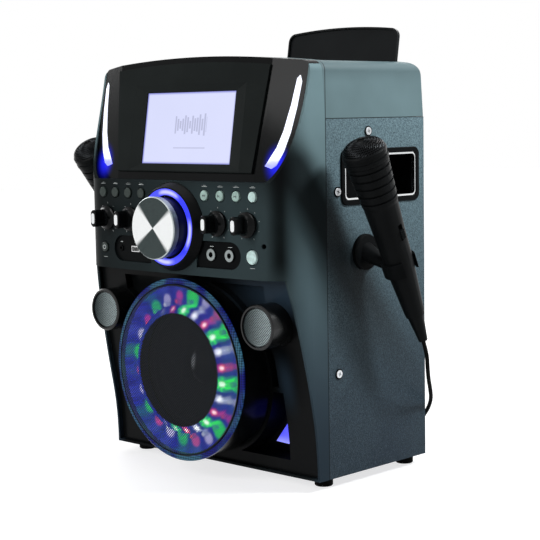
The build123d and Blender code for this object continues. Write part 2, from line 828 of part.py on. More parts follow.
def head_block(back):
    """Head's solid form, its folded front moved back by this much."""
    outlines = []
    for level, fold, wing in (
        (panel_high, head_low_half, wing_low_setback),
        (top_height + 5, head_high_half, wing_high_setback),
    ):
        middle = screen_setback - frame_proud / lean_cos + (level - screen_mid) * lean_tan
        wide = head_half + 8
        rake = (wing - middle) / (head_half - fold)
        front = behind(middle + back)
        ends = behind(middle + back + rake * (wide - fold))
        with BuildSketch(Plane.XY.offset(level)) as outline:
            with BuildLine():
                Polyline(
                    (-wide, 100),
                    (-wide, ends),
                    (-fold, front),
                    (fold, front),
                    (wide, ends),
                    (wide, 100),
                    close=True,
                )
            make_face()
        outlines.append(outline.sketch)
    block = loft(outlines, ruled=True, mode=Mode.PRIVATE)
    inner_plan = plan_outline(wall + seat, panel_high - 5)
    block = block & extrude(inner_plan, top_height, mode=Mode.PRIVATE)
    block = block & extrude(front_outline(0), cabinet_width, both=True, mode=Mode.PRIVATE)
    return block & extrude(seam_side(seat, 0), cabinet_width, both=True, mode=Mode.PRIVATE)


light_outline = (
    (163.5, 478.0),
    (160.0, 449.0),
    (154.0, 419.0),
    (147.0, 400.0),
    (133.0, 379.0),
    (143.0, 376.0),
    (150.0, 380.0),
    (158.0, 396.0),
    (164.0, 417.0),
    (168.0, 445.0),
    (170.0, 474.0),
    (167.0, 482.0),
)


def light_prism(side, grow):
    """Outline of a light guide from the front, carried through the head."""
    with BuildSketch(Plane.XZ) as shape:
        with BuildLine():
            Polyline(*((side * x, z) for x, z in light_outline), close=True)
        make_face()
        offset(amount=grow, kind=Kind.INTERSECTION)
    return extrude(shape.sketch, overall_depth, both=True, mode=Mode.PRIVATE)


head_solid = head_block(0)
with BuildPart() as head_frame:
    add(head_solid)
    for side in (-1, 1):
        add(light_prism(side, 0) - head_block(strip_depth + 0.3), mode=Mode.SUBTRACT)
    # hollow behind the screen and the opening for it
    with Locations((0, behind(62) + 100, (panel_high + 4 + 490) / 2)):
        Box(300, 200, 490 - panel_high - 4, mode=Mode.SUBTRACT)
    with BuildSketch(screen_plane(20)):
        Rectangle(screen_width + 12, screen_height + 14)
    extrude(amount=-120, mode=Mode.SUBTRACT)
save("head_frame", head_frame.part)

with BuildPart() as lcd_panel:
    with BuildSketch(screen_plane(0)):
        Rectangle(screen_width + 11.4, screen_height + 13.4)
    extrude(amount=-screen_thickness)
save("lcd_panel", lcd_panel.part)

bezel_back = frame_proud + 0.3
with BuildPart() as screen_bezel:
    with BuildSketch(screen_plane(bezel_back)):
        with BuildLine():
            corner = along_screen(bezel_corner_height)
            Polyline(
                (bezel_high_half, corner),
                (bezel_low_half, along_screen(bezel_low)),
                (-bezel_low_half, along_screen(bezel_low)),
                (-bezel_high_half, corner),
            )
            ThreePointArc(
                (-bezel_high_half, corner),
                (0, corner + bezel_bulge),
                (bezel_high_half, corner),
            )
        make_face()
    extrude(amount=bezel_proud - bezel_back)
    chamfer(screen_bezel.faces().sort_by(Axis.Y)[0].outer_wire().edges(), 0.8)
    with BuildSketch(screen_plane(bezel_back)):
        Rectangle(screen_width, screen_height)
    mouth_low = along_screen(bevel_low)
    mouth_high = along_screen(bevel_high)
    with BuildSketch(screen_plane(bezel_proud)):
        with Locations((0, (mouth_low + mouth_high) / 2)):
            Rectangle(2 * bevel_half, mouth_high - mouth_low)
    loft(mode=Mode.SUBTRACT)
save("screen_bezel", screen_bezel.part)

with BuildPart() as light_guides:
    skin = head_block(-strip_proud) - head_block(strip_depth)
    for side in (-1, 1):
        add(skin & light_prism(side, -0.3))
save("light_guides", light_guides.part)

# ---------------------------------------------------------------- big dial
collar_back = panel_y + 1.2 - 0.1
with BuildPart() as dial_collar:
    with BuildSketch(Plane.XY.offset(dial_height)):
        with BuildLine():
            Polyline(
                (shaft_radius + 3, collar_back),
                (collar_radius, collar_back),
                (collar_radius, collar_back - 1.4),
                (collar_front_radius + 0.4, ring_y),
                (collar_front_radius - 0.2, ring_y - 0.6),
                (ring_radius + seat, ring_y - 0.6),
                (ring_radius + seat, ring_y + ring_depth + seat),
                (ring_radius - ring_width - 0.3, ring_y + ring_depth + seat),
                (ring_radius - ring_width - 0.3, behind(8)),
                (shaft_radius + 3, behind(8)),
                close=True,
            )
        make_face()
    revolve(axis=spin_axis(0, dial_height))
save("dial_collar", dial_collar.part)

with BuildPart() as dial_light_ring:
    with BuildSketch(facing(ring_y)):
        with Locations((0, dial_height)):
            Circle(ring_radius)
            Circle(ring_radius - ring_width, mode=Mode.SUBTRACT)
    extrude(amount=-ring_depth)
save("dial_light_ring", dial_light_ring.part)

cap_y = dial_face_y + dial_cap
with BuildPart() as volume_dial:
    with BuildSketch(Plane.XY.offset(dial_height)):
        with BuildLine():
            Polyline(
                (0, dial_face_y),
                (dial_radius - 1, dial_face_y),
                (dial_radius, dial_face_y + 1),
                (dial_radius, cap_y),
                (dial_skirt_radius, cap_y),
                (dial_skirt_radius, behind(4)),
                (dial_skirt_radius - 3, behind(4)),
                (dial_skirt_radius - 3, cap_y + 3),
                (8, cap_y + 3),
                (8, behind(6)),
                (shaft_radius, behind(6)),
                (shaft_radius, behind(26)),
                (0, behind(26)),
                close=True,
            )
        make_face()
    revolve(axis=spin_axis(0, dial_height))
save("volume_dial", volume_dial.part)

# ---------------------------------------------------------------- small knobs
knob_names = ("knob_microphone", "knob_music", "knob_treble", "knob_echo")
knob_places = (-knob_x[1], -knob_x[0], knob_x[0], knob_x[1])
for name, x in zip(knob_names, knob_places):
    base = panel_surface(x) - 1.4
    tip = panel_surface(x) - knob_reach
    with BuildPart() as knob:
        with BuildSketch(Plane(origin=(x, 0, knob_height))):
            with BuildLine():
                bell = Line((0, base - 9), (knob_radius - 5, base - 9))
                flare = ThreePointArc(
                    bell @ 1,
                    (knob_radius - 3.4, base - 5.2),
                    (knob_radius, base - 2.5),
                )
                Polyline(
                    flare @ 1,
                    (knob_radius, base),
                    (shaft_radius, base),
                    (shaft_radius, panel_surface(x) + 14),
                    (0, panel_surface(x) + 14),
                    (0, base - 9),
                )
            make_face()
        revolve(axis=spin_axis(x, knob_height))
        with BuildSketch(facing(base - 3)):
            with Locations((x, knob_height)):
                SlotCenterToCenter(
                    knob_grip_height - knob_grip_width + 4,
                    knob_grip_width,
                    rotation=90,
                )
        extrude(amount=base - 3 - tip)
        chamfer(knob.faces().sort_by(Axis.Y)[0].edges(), 0.9)
    save(name, knob.part)

with BuildPart() as control_pots:
    for x, height in ((0, dial_height), *((place, knob_height) for place in knob_places)):
        front = panel_surface(x) + wall + 1.5
        with BuildSketch(facing(front)):
            with Locations((x, height)):
                Circle(8.5)
                Circle(shaft_radius + running_gap, mode=Mode.SUBTRACT)
        extrude(amount=-14)
save("control_pots", control_pots.part)

# ---------------------------------------------------------------- push buttons
button_places = (
    ("button_light", -button_x[0], button_height, button_radius),
    ("button_source", -button_x[1], button_height, button_radius),
    ("button_program", -button_x[2], button_height, button_radius),
    ("button_repeat", -button_x[3], button_height, button_radius),
    ("button_previous", button_x[0], button_height, button_radius),
    ("button_play", button_x[1], button_height, button_radius),
    ("button_next", button_x[2], button_height, button_radius),
    ("button_stop", button_x[3], button_height, button_radius),
    ("button_power", power_x, low_row_height, button_radius),
    ("button_record", record_x, low_row_height, record_radius),
)
for name, x, height, radius in button_places:
    face = panel_surface(x) - button_proud
    flange = panel_surface(x) + wall + 0.7 + 0.4 * (radius - button_radius)
    with BuildPart() as button:
        with BuildSketch(facing(face)):
            with Locations((x, height)):
                Circle(radius)
        extrude(amount=-(flange + 1.5 - face))
        chamfer(button.faces().sort_by(Axis.Y)[0].edges(), 0.6)
        with BuildSketch(facing(flange)):
            with Locations((x, height)):
                Circle(radius + button_flange)
        extrude(amount=-1.5)
    save(name, button.part)

# ---------------------------------------------------------------- sockets
inset_low = low_row_height - inset_height / 2 - 6


def panel_layer(front, back):
    """Bowed plate that lies between two depths under the panel's face, behind the sockets."""
    whole = extrude(plan_outline(front, inset_low), inset_height + 12, mode=Mode.PRIVATE)
    core = extrude(plan_outline(back, inset_low - 1), inset_height + 14, mode=Mode.PRIVATE)
    return whole - core


with BuildPart() as jack_insets:
    inset_plate_layer = panel_layer(inset_depth, wall + seat + 2)
    inset_flange_layer = panel_layer(wall + seat, wall + seat + 2)
    for side in (-1, 1):
        cut = stadium(inset_start, inset_reach, inset_height, low_row_height, -seat, side)
        add(inset_plate_layer & extrude(cut, overall_depth, mode=Mode.PRIVATE))
        cut = stadium(inset_start, inset_reach, inset_height, low_row_height, 2.5, side)
        add(inset_flange_layer & extrude(cut, overall_depth, mode=Mode.PRIVATE))
    with BuildSketch(facing(panel_y - 5)):
        for x in mic_jack_x:
            with Locations((x, low_row_height)):
                Circle(5.3)
        with Locations((aux_jack_x, low_row_height)):
            Circle(3.3)
        with Locations((usb_x, low_row_height)):
            Rectangle(usb_width + 0.6, usb_height + 0.6)
    extrude(amount=-40, mode=Mode.SUBTRACT)
save("jack_insets", jack_insets.part)

with BuildPart() as microphone_jacks:
    for x in mic_jack_x:
        front = panel_surface(x) + inset_depth - 2.2
        with BuildSketch(facing(front)):
            with Locations((x, low_row_height)):
                Circle(mic_jack_radius)
        extrude(amount=-1.6)
        with BuildSketch(facing(front + 1.6)):
            with Locations((x, low_row_height)):
                Circle(5)
        extrude(amount=-8)
        with BuildSketch(facing(front + 9)):
            with Locations((x, low_row_height)):
                Rectangle(16, 16)
        extrude(amount=-24)
        with BuildSketch(facing(front)):
            with Locations((x, low_row_height)):
                Circle(mic_jack_bore)
        extrude(amount=-31, mode=Mode.SUBTRACT)
save("microphone_jacks", microphone_jacks.part)

with BuildPart() as line_jack:
    front = panel_surface(aux_jack_x) + inset_depth - 1.6
    with BuildSketch(facing(front)):
        with Locations((aux_jack_x, low_row_height)):
            Circle(aux_jack_radius)
    extrude(amount=-1.0)
    with BuildSketch(facing(front + 1)):
        with Locations((aux_jack_x, low_row_height)):
            Circle(3)
    extrude(amount=-8)
    with BuildSketch(facing(front + 8.5)):
        with Locations((aux_jack_x, low_row_height)):
            Rectangle(10, 9)
    extrude(amount=-12)
    with BuildSketch(facing(front)):
        with Locations((aux_jack_x, low_row_height)):
            Circle(aux_jack_bore)
    extrude(amount=-17, mode=Mode.SUBTRACT)
save("line_jack", line_jack.part)

with BuildPart() as usb_port:
    front = panel_surface(usb_x) + inset_depth - 1.2
    with Locations((usb_x, front + 8, low_row_height)):
        Box(usb_width, 16, usb_height)
    with Locations((usb_x, front + 7, low_row_height)):
        Box(usb_width - 2 * usb_shell, 14.01, usb_height - 2 * usb_shell, mode=Mode.SUBTRACT)
    with Locations((usb_x, front + 8.5, low_row_height + usb_height / 2 - usb_shell - 0.5)):
        Box(usb_width - 3.4, 13, 1.2)
save("usb_port", usb_port.part)

# ---------------------------------------------------------------- speaker and its surround
speaker_axis = spin_axis(0, speaker_height)


def disc_prism(x, height, radius, front, length):
    """Round bar along Y from this front."""
    with BuildSketch(facing(front)) as face:
        with Locations((x, height)):
            Circle(radius)
    return extrude(face.sketch, -length, mode=Mode.PRIVATE)


def slab(half, low, high):
    """Rectangle from the front, carried through the whole depth."""
    with BuildSketch(Plane.XZ) as face:
        with Locations((0, (low + high) / 2)):
            Rectangle(2 * half, high - low)
    return extrude(face.sketch, overall_depth, both=True, mode=Mode.PRIVATE)


def front_of_arch(shift):
    """Solid space ahead of the swept edge, moved back by shift."""
    face = ahead_of_arch(shift, panel_low + 2)
    return extrude(face, cabinet_width, both=True, mode=Mode.PRIVATE)


surround_low = foot_height + wall + seat
surround_high = panel_low - seat
face_shift = surround_shift
with BuildPart() as speaker_surround:
    extrude(plan_outline(wall + seat, surround_low), surround_high - surround_low)
    add(front_of_arch(face_shift), mode=Mode.SUBTRACT)
    deep = front_of_arch(face_shift + surround_thickness)
    add(deep, mode=Mode.INTERSECT)
    extrude(seam_side(seat, 0), cabinet_width, both=True, mode=Mode.INTERSECT)
    # closed pockets beside the speaker's foot
    tub = slab(port_half + wall, port_low - wall, port_high + wall)
    tub = tub & front_of_arch(surround_shift + port_depth + wall)
    tub = tub - front_of_arch(face_shift + 1)
    add(tub)
    pocket = slab(port_half, port_low, port_high)
    pocket = pocket & front_of_arch(surround_shift + port_depth)
    land = disc_prism(0, speaker_height, drum_radius + land_gap, -overall_depth, 600)
    add(pocket - land, mode=Mode.SUBTRACT)
    # sunk field beside the speaker's shoulders
    field = slab(recess_half, recess_low, recess_high)
    field = field & front_of_arch(surround_shift + recess_depth)
    field = field - land
    for x in (-pod_x, pod_x):
        field = field - disc_prism(x, pod_height, pod_radius + 1.5, -overall_depth, 600)
    add(field, mode=Mode.SUBTRACT)
    add(
        disc_prism(0, speaker_height, woofer_hole, -overall_depth, 600),
        mode=Mode.SUBTRACT,
    )
save("speaker_surround", speaker_surround.part)

face_solid = front_of_arch(surround_shift - seat)
with BuildPart() as speaker_drum:
    with BuildSketch(Plane.XY.offset(speaker_height)):
        with BuildLine():
            Polyline(
                (drum_radius - drum_wall, behind(drum_front - 2)),
                (speaker_radius, behind(drum_front - 2)),
                (speaker_radius, behind(drum_front - 2 + drum_lip)),
                (drum_radius, behind(drum_front + drum_lip)),
                (drum_radius, behind(90)),
                (drum_radius - drum_wall, behind(90)),
                (drum_radius - drum_wall, behind(drum_flange + 3)),
                (lamp_inner, behind(drum_flange + 3)),
                (lamp_inner, behind(drum_flange)),
                (drum_radius - drum_wall, behind(drum_flange)),
                close=True,
            )
        make_face()
    revolve(axis=speaker_axis)
    chamfer(speaker_drum.faces().sort_by(Axis.Y)[0].outer_wire().edges(), 1.5)
    add(face_solid, mode=Mode.INTERSECT)
save("speaker_drum", speaker_drum.part)

lamp_outer = drum_radius - drum_wall - 0.4
with BuildPart() as lamp_ring:
    with BuildSketch(Plane.XY.offset(speaker_height)):
        with BuildLine():
            Polyline(
                (lamp_inner, behind(19)),
                (lamp_inner + 1.6, behind(19)),
                (lamp_inner + 1.6, behind(30.5)),
                (lamp_outer - 1.4, behind(30.5)),
                (lamp_outer - 1.4, behind(19)),
                (lamp_outer, behind(19)),
                (lamp_outer, behind(drum_flange - 0.2)),
                (lamp_inner, behind(drum_flange - 0.2)),
                close=True,
            )
        make_face()
    revolve(axis=speaker_axis)
    with BuildSketch(facing(behind(30.4))):
        with Locations((0, speaker_height)):
            with PolarLocations(lamp_circle, lamp_count, start_angle=7.5):
                Circle(lamp_radius - 1)
    extrude(amount=-2, mode=Mode.SUBTRACT)
save("lamp_ring", lamp_ring.part)

with BuildPart() as speaker_lamps:
    with BuildSketch(facing(behind(24))):
        with Locations((0, speaker_height)):
            with PolarLocations(lamp_circle, lamp_count, start_angle=7.5):
                RegularPolygon(lamp_radius, 8)
    extrude(amount=-6.3)
save("speaker_lamps", speaker_lamps.part)

with BuildPart() as speaker_grille:
    with BuildSketch(facing(behind(speaker_setback))):
        with Locations((0, speaker_height)):
            Circle(lamp_outer)
    extrude(amount=-grille_thickness)
    with BuildSketch(facing(behind(speaker_setback + grille_thickness))):
        with Locations((0, speaker_height)):
            Circle(lamp_outer)
            Circle(lamp_outer - 2, mode=Mode.SUBTRACT)
    extrude(amount=-4.4)
save("speaker_grille", speaker_grille.part)

with BuildPart() as woofer_frame:
    with BuildSketch(Plane.XY.offset(speaker_height)):
        with BuildLine():
            Polyline(
                (cone_radius - 4, behind(39.7)),
                (cone_radius + 1, behind(39.7)),
                (cone_radius + 1, behind(drum_flange + 3.2)),
                (frame_radius, behind(drum_flange + 3.2)),
                (frame_radius, behind(43)),
                (76, behind(43)),
                (magnet_radius + 4, behind(80)),
                (magnet_radius + 4, behind(84)),
                (magnet_radius, behind(84)),
                (magnet_radius, behind(106)),
                (0, behind(106)),
                (0, behind(82)),
                (magnet_radius + 1, behind(82)),
                (73, behind(43)),
                (cone_radius - 4, behind(43)),
                close=True,
            )
        make_face()
    revolve(axis=speaker_axis)
save("woofer_frame", woofer_frame.part)

with BuildPart() as woofer_cone:
    with BuildSketch(Plane.XY.offset(speaker_height)):
        with BuildLine():
            bulge = dome_middle(23, 10)
            middle = (bulge[0], behind(47) + bulge[1])
            cap = ThreePointArc((0, behind(47)), middle, (23, behind(57)))
            slope = Line(cap @ 1, (62, behind(39)))
            roll = ThreePointArc(slope @ 1, (66, behind(35)), (cone_radius, behind(38.2)))
            edge = Line(roll @ 1, (cone_radius, behind(39.4)))
            under = ThreePointArc(edge @ 1, (66, behind(36.4)), (62, behind(40.6)))
            back = Line(under @ 1, (23, behind(58.8)))
            bulge = dome_middle(23, 10.2)
            middle = (bulge[0], behind(48.6) + bulge[1])
            inside = ThreePointArc(back @ 1, middle, (0, behind(48.6)))
            Line(inside @ 1, cap @ 0)
        make_face()
    revolve(axis=speaker_axis)
save("woofer_cone", woofer_cone.part)

with BuildPart() as tweeter_pods:
    for x in (-pod_x, pod_x):
        add(disc_prism(x, pod_height, pod_radius, behind(pod_setback), 90) & face_solid)
    chamfer(tweeter_pods.edges().group_by(Axis.Y)[0], 1.2)
    for x in (-pod_x, pod_x):
        pocket = disc_prism(x, pod_height, pod_mesh_radius + seat, behind(pod_setback), 10)
        add(pocket, mode=Mode.SUBTRACT)
save("tweeter_pods", tweeter_pods.part)

with BuildPart() as tweeter_grilles:
    with BuildSketch(facing(behind(pod_setback + 0.8))):
        with Locations((-pod_x, pod_height), (pod_x, pod_height)):
            Circle(pod_mesh_radius)
    extrude(amount=-1.2)
    with BuildSketch(facing(behind(pod_setback + 2.0))):
        with Locations((-pod_x, pod_height), (pod_x, pod_height)):
            Circle(pod_mesh_radius)
            Circle(pod_mesh_radius - 1.5, mode=Mode.SUBTRACT)
    extrude(amount=-7.9)
save("tweeter_grilles", tweeter_grilles.part)

with BuildPart() as foot_lamps:
    corner = port_half - 0.3
    with BuildSketch(facing(behind(lamp_wedge_setback))):
        with BuildLine():
            Polyline(
                (corner, lamp_wedge_low),
                (corner, lamp_wedge_low + lamp_wedge_height),
                (corner - lamp_wedge_width, lamp_wedge_low + 1),
                close=True,
            )
        make_face()
        mirror(about=Plane.YZ)
    extrude(amount=-60)
    add(front_of_arch(surround_shift + port_depth - seat), mode=Mode.INTERSECT)
save("foot_lamps", foot_lamps.part)

# ---------------------------------------------------------------- microphones and their clips
def mic_direction(side):
    """Direction from the tail to the head of the microphone on this side."""
    tilt = math.radians(mic_tilts[side])
    return Vector(0, -math.sin(tilt), math.cos(tilt))


def mic_tail(side):
    """Middle of the tail's end."""
    middle = Vector(side * mic_x, behind(clip_setback), clip_height)
    return middle - mic_direction(side) * mic_reaches[side]


def mic_profile(side):
    """Plane through the microphone's axis, on which its profile is drawn."""
    up = mic_direction(side)
    return Plane(
        origin=mic_tail(side),
        x_dir=(1, 0, 0),
        z_dir=(0, -up.Z, up.Y),
    )


def mic_level(side, distance):
    """Plane across the microphone, this far up from its tail."""
    up = mic_direction(side)
    return Plane(origin=mic_tail(side) + up * distance, x_dir=(1, 0, 0), z_dir=up)


rim = mic_length
band_low = rim - head_band
switch_low = switch_middle - switch_length / 2 - 2
switch_bed = switch_length + switch_travel + 4

def mic_axis(side):
    """Axis of the microphone on this side."""
    return Axis(mic_tail(side), mic_direction(side))


with BuildPart() as microphone_bodies:
    for side in (1, -1):
        with BuildSketch(mic_profile(side)):
            with BuildLine():
                Polyline(
                    (0, 0),
                    (tail_radius, 0),
                    *((radius, height) for height, radius in mic_stations),
                    (mic_collar_low[1] - 1, mic_collar_low[0] - 4),
                    (mic_collar_low[1], mic_collar_low[0]),
                    (mic_collar_top[1], mic_collar_top[0]),
                    (0, mic_collar_top[0]),
                    (0, 0),
                )
            make_face()
        revolve(axis=mic_axis(side))
        # grooves of the head's collar
        pitch = (mic_collar_top[0] - mic_collar_low[0]) / rib_count
        rise = (mic_collar_top[1] - mic_collar_low[1]) / rib_count
        for row in range(rib_count):
            level = mic_collar_low[0] + (row + 0.5) * pitch - rib_gap / 2
            with BuildSketch(mic_level(side, level)):
                Circle(head_radius + 4)
                Circle(mic_collar_low[1] + row * rise - rib_depth, mode=Mode.SUBTRACT)
            extrude(amount=rib_gap, mode=Mode.SUBTRACT)
        # bed of the switch
        with BuildSketch(mic_level(side, switch_low)):
            with Locations((side * (switch_floor + 10), 0)):
                Rectangle(20, switch_width + 0.8)
        extrude(amount=switch_bed, mode=Mode.SUBTRACT)
    # hole for the lead
    with BuildSketch(mic_level(1, 0)):
        Circle(cord_radius + 0.3)
    extrude(amount=lead_depth, mode=Mode.SUBTRACT)
save("microphone_bodies", microphone_bodies.part)

with BuildPart() as microphone_heads:
    for side in (1, -1):
        with BuildSketch(mic_profile(side)):
            with BuildLine():
                Polyline(
                    (0, rim + head_dome),
                    (0, band_low + 0.1),
                    (mic_collar_top[1] + 0.3, band_low + 0.1),
                    (head_radius, band_low + 2.5),
                    (head_radius, rim - 2),
                    (head_radius - 1.2, rim - 1),
                    (head_radius - 1.2, rim),
                )
                bulge = dome_middle(head_radius - 1.2, head_dome)
                ThreePointArc(
                    (head_radius - 1.2, rim),
                    (bulge[0], rim + head_dome - bulge[1]),
                    (0, rim + head_dome),
                )
            make_face()
        revolve(axis=mic_axis(side))
save("microphone_heads", microphone_heads.part)

for side, name in ((1, "switch_right"), (-1, "switch_left")):
    middle = (switch_floor + 0.2 + switch_top) / 2
    with BuildPart() as slider:
        with BuildSketch(mic_level(side, switch_middle - switch_length / 2)):
            with Locations((side * middle, 0)):
                Rectangle(switch_top - switch_floor - 0.2, switch_width)
        extrude(amount=switch_length)
        for row in range(3):
            with BuildSketch(mic_level(side, switch_middle - 3.6 + 3 * row)):
                with Locations((side * switch_top, 0)):
                    Rectangle(1.6, switch_width + 1)
            extrude(amount=1.2, mode=Mode.SUBTRACT)
    save(name, slider.part)

with BuildPart() as microphone_clips:
    for side in (1, -1):
        reach = mic_reaches[side]
        out = Plane(
            origin=(side * (half_width + 0.1), behind(clip_disc_setback), clip_disc_height),
            x_dir=(0, side, 0),
            z_dir=(side, 0, 0),
        )
        neck = Plane(
            origin=(side * (mic_x - clip_bore - 1.2), behind(clip_setback), clip_height),
            x_dir=(0, side, 0),
            z_dir=(side, 0, 0),
        )
        with BuildSketch(out):
            Circle(clip_disc_radius)
        extrude(amount=clip_disc_thickness - 1.6)
        with BuildSketch(out.offset(clip_disc_thickness - 1.6)):
            Circle(clip_disc_radius)
        extrude(amount=1.6, taper=40)
        with BuildSketch(out.offset(clip_disc_thickness - 0.5)):
            Circle(clip_arm_radius)
        with BuildSketch(neck):
            Circle(clip_neck_radius)
        loft()
        with BuildSketch(mic_level(side, reach - clip_length / 2)):
            Circle(clip_bore + clip_wall)
        extrude(amount=clip_length)
        with BuildSketch(mic_level(side, reach - clip_length)):
            Circle(clip_bore)
            with Locations((side * 20, 0)):
                Rectangle(20, clip_mouth)
        extrude(amount=2 * clip_length, mode=Mode.SUBTRACT)
save("microphone_clips", microphone_clips.part)

# ---------------------------------------------------------------- right microphone's lead
route = [Vector(x, behind(setback), height) for x, setback, height in cord_route]
corner_radii = []
for before, here, after in zip(route, route[1:], route[2:]):
    turn = math.radians((here - before).get_angle(after - here))
    shorter = min((here - before).length, (after - here).length)
    corner_radii.append(0.45 * shorter / math.tan(turn / 2))
print("lead's radii", [round(radius) for radius in corner_radii])

with BuildPart() as mic_cord:
    with BuildLine() as cord_line:
        FilletPolyline(*route, radius=corner_radii)
    with BuildSketch(Plane(cord_line.line @ 0, z_dir=cord_line.line % 0)):
        Circle(cord_radius)
    sweep()
save("mic_cord", mic_cord.part)
free_length = cord_line.wires()[0].length
print("lead", free_length, mic_cord.part.volume / (math.pi * cord_radius**2))

coil_pitch = 2 * cord_radius + coil_gap
coil_rise = 2 * cord_radius + coil_layer_gap
coil_start = route[-1]
with BuildPart() as mic_cord_coil:
    with BuildLine() as coil_line:
        here = coil_start + Vector(-2 * cord_radius, 0, 0)
        Line(coil_start, here)
        heading = Vector(-1, 0, 0)
        # layers wind in and out by turns, and the half turn where the spiral reverses climbs
        for half in range(coil_layers * coil_half_turns):
            steps = abs(coil_half_turns - half % (2 * coil_half_turns))
            radius = coil_inner + steps * coil_pitch / 2
            inward = Vector(heading.Y, -heading.X, 0)
            there = here + inward * 2 * radius
            if half > 0 and half % coil_half_turns == 0:
                there = there + Vector(0, 0, coil_rise)
                middle = (here + there) / 2 + heading * math.hypot(radius, coil_rise / 2)
                TangentArc(here, middle, tangent=heading)
                TangentArc(middle, there, tangent=there - here)
            else:
                ThreePointArc(here, (here + there) / 2 + heading * radius, there)
            here = there
            heading = -heading
        landing = here + heading * coil_end
        landing = Vector(landing.X, landing.Y, plug_radius + plug_rest)
        halfway = (here + landing) / 2
        slope = TangentArc(here, halfway, tangent=heading)
        TangentArc(halfway, landing, tangent=slope % 1)
    with BuildSketch(Plane(coil_start, z_dir=(-1, 0, 0))):
        RegularPolygon(cord_radius, 8)
    sweep()
save("mic_cord_coil", mic_cord_coil.part)
coil_wire = coil_line.wires()[0]
coil_length = coil_wire.length
samples = [coil_wire.position_at(i / 900) for i in range(901)]
apart = int(900 * math.pi * coil_inner / coil_length)
least = min(
    (samples[i] - samples[j]).length
    for i in range(901)
    for j in range(i + apart, 901)
)
print("coil", coil_length, "least gap", least - 2 * cord_radius)
print("whole lead", free_length + coil_length)

plug_start = landing + heading * plug_joint
with BuildPart() as mic_plug:
    with BuildSketch(Plane(plug_start, x_dir=(0, 0, 1), z_dir=heading)):
        Circle(plug_radius - 1.5)
    extrude(amount=3)
    with BuildSketch(Plane(plug_start + heading * 3, x_dir=(0, 0, 1), z_dir=heading)):
        Circle(plug_radius)
    extrude(amount=plug_barrel - 3)
    with BuildSketch(Plane(plug_start + heading * plug_barrel, x_dir=(0, 0, 1), z_dir=heading)):
        Circle(plug_tip_radius)
    extrude(amount=plug_tip)
    tip_edge = mic_plug.faces().sort_by(Axis.X)[0].edges()
    chamfer(tip_edge, 1.2)
save("mic_plug", mic_plug.part)
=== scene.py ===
"""Dresses the karaoke machine: finishes for its solids, perforated grilles, screws, marks and lead."""
import math

import bmesh
import bpy
from bpy.props import (
    FloatProperty,
    FloatVectorProperty,
    IntProperty,
    PointerProperty,
)
from mathutils import Matrix, Vector


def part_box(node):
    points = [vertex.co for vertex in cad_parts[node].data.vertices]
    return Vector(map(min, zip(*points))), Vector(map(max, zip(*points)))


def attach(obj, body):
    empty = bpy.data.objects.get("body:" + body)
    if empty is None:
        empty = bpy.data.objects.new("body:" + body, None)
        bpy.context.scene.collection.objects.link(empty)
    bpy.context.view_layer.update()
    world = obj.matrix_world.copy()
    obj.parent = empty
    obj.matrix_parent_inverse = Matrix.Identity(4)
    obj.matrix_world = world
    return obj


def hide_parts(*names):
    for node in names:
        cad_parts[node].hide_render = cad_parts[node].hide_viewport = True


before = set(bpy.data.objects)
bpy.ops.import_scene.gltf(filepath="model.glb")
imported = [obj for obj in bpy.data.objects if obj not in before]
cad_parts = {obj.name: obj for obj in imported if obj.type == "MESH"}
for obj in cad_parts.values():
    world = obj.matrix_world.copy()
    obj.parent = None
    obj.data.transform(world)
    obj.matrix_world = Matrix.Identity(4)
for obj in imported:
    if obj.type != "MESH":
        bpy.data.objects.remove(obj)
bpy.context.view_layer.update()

bl_info = {
    "name": "Karaoke machine dressing",
    "version": (1, 0, 0),
    "blender": (4, 5, 0),
    "location": "View3D > Sidebar > Karaoke",
    "description": "Finishes, grilles, marks and lead of a lit karaoke machine",
    "category": "Object",
}

# ---------------------------------------------------------------- places on the machine, in metres
RING_FRONT = -0.1232             # front of the light ring round the big dial
PANEL_FRONT = -0.1124            # middle of the bowed control panel
PANEL_BOW = 0.008
HALF_WIDTH = 0.1785
DIAL_HEIGHT = 0.3066
DIAL_FACE = -0.1444
SPEAKER_HEIGHT = 0.1328
SPEAKER_FRONT = -0.1103
GRILLE_RADIUS = 0.1046
POD_PLACES = (-0.1338, 0.1338)
POD_HEIGHT = 0.1958
POD_FRONT = -0.1083
POD_MESH_RADIUS = 0.0229
KNOB_PLACES = (-0.1224, -0.0763, 0.0763, 0.1224)
KNOB_HEIGHT = 0.313
BUTTON_PLACES = (0.0555, 0.0807, 0.1058, 0.1305)
BUTTON_HEIGHT = 0.345
LOW_ROW = 0.276
SCREEN_MIDDLE = Vector((0, -0.0832, 0.4231))
SCREEN_LEAN = math.radians(9.2)
MIC_X = 0.226
MIC_CLIP = (0.0368, 0.261)       # Y and height of the middle of a microphone's clip
MIC_TILTS = {1: 24.9, -1: 32.4}
MIC_REACHES = {1: 0.103, -1: 0.0943}
MIC_RIM = 0.253
SIDE_SCREWS = ((0.0384, 0.4165), (-0.0173, 0.3475), (-0.0184, 0.1349))
LAMP_COUNT = 24                  # lamps round the woofer
LAMP_START = 1                   # place of the first green lamp in the order of three colours
LAMP_POINT_RADIUS = 0.0738       # the lamps' bright points on the lit cone
LAMP_PATCH_RADIUS = 0.0890       # the patches of light that they throw outwards
LAMP_CAP_RADIUS = 0.0825
LAMP_CONE_BACK = -0.1037         # rear of the lit cone round the woofer
SEAM = -0.0366                   # joint of the front moulding with the box
COVER_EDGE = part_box("cabinet")[1].z
CAMERA_PLACE = Vector((1.31288, -1.31376, 0.43824))
CAMERA_TURN = (43.82, 5.97, -0.95)    # yaw, pitch and roll in degrees
FOCAL_PIXELS = 1491.88           # focal length fitted to the photograph, which is this wide:
PHOTO_PIXELS = 540
SENSOR = 36                      # mm
WORLD_FILL = 0.09                # strength of the world for rays that light the object
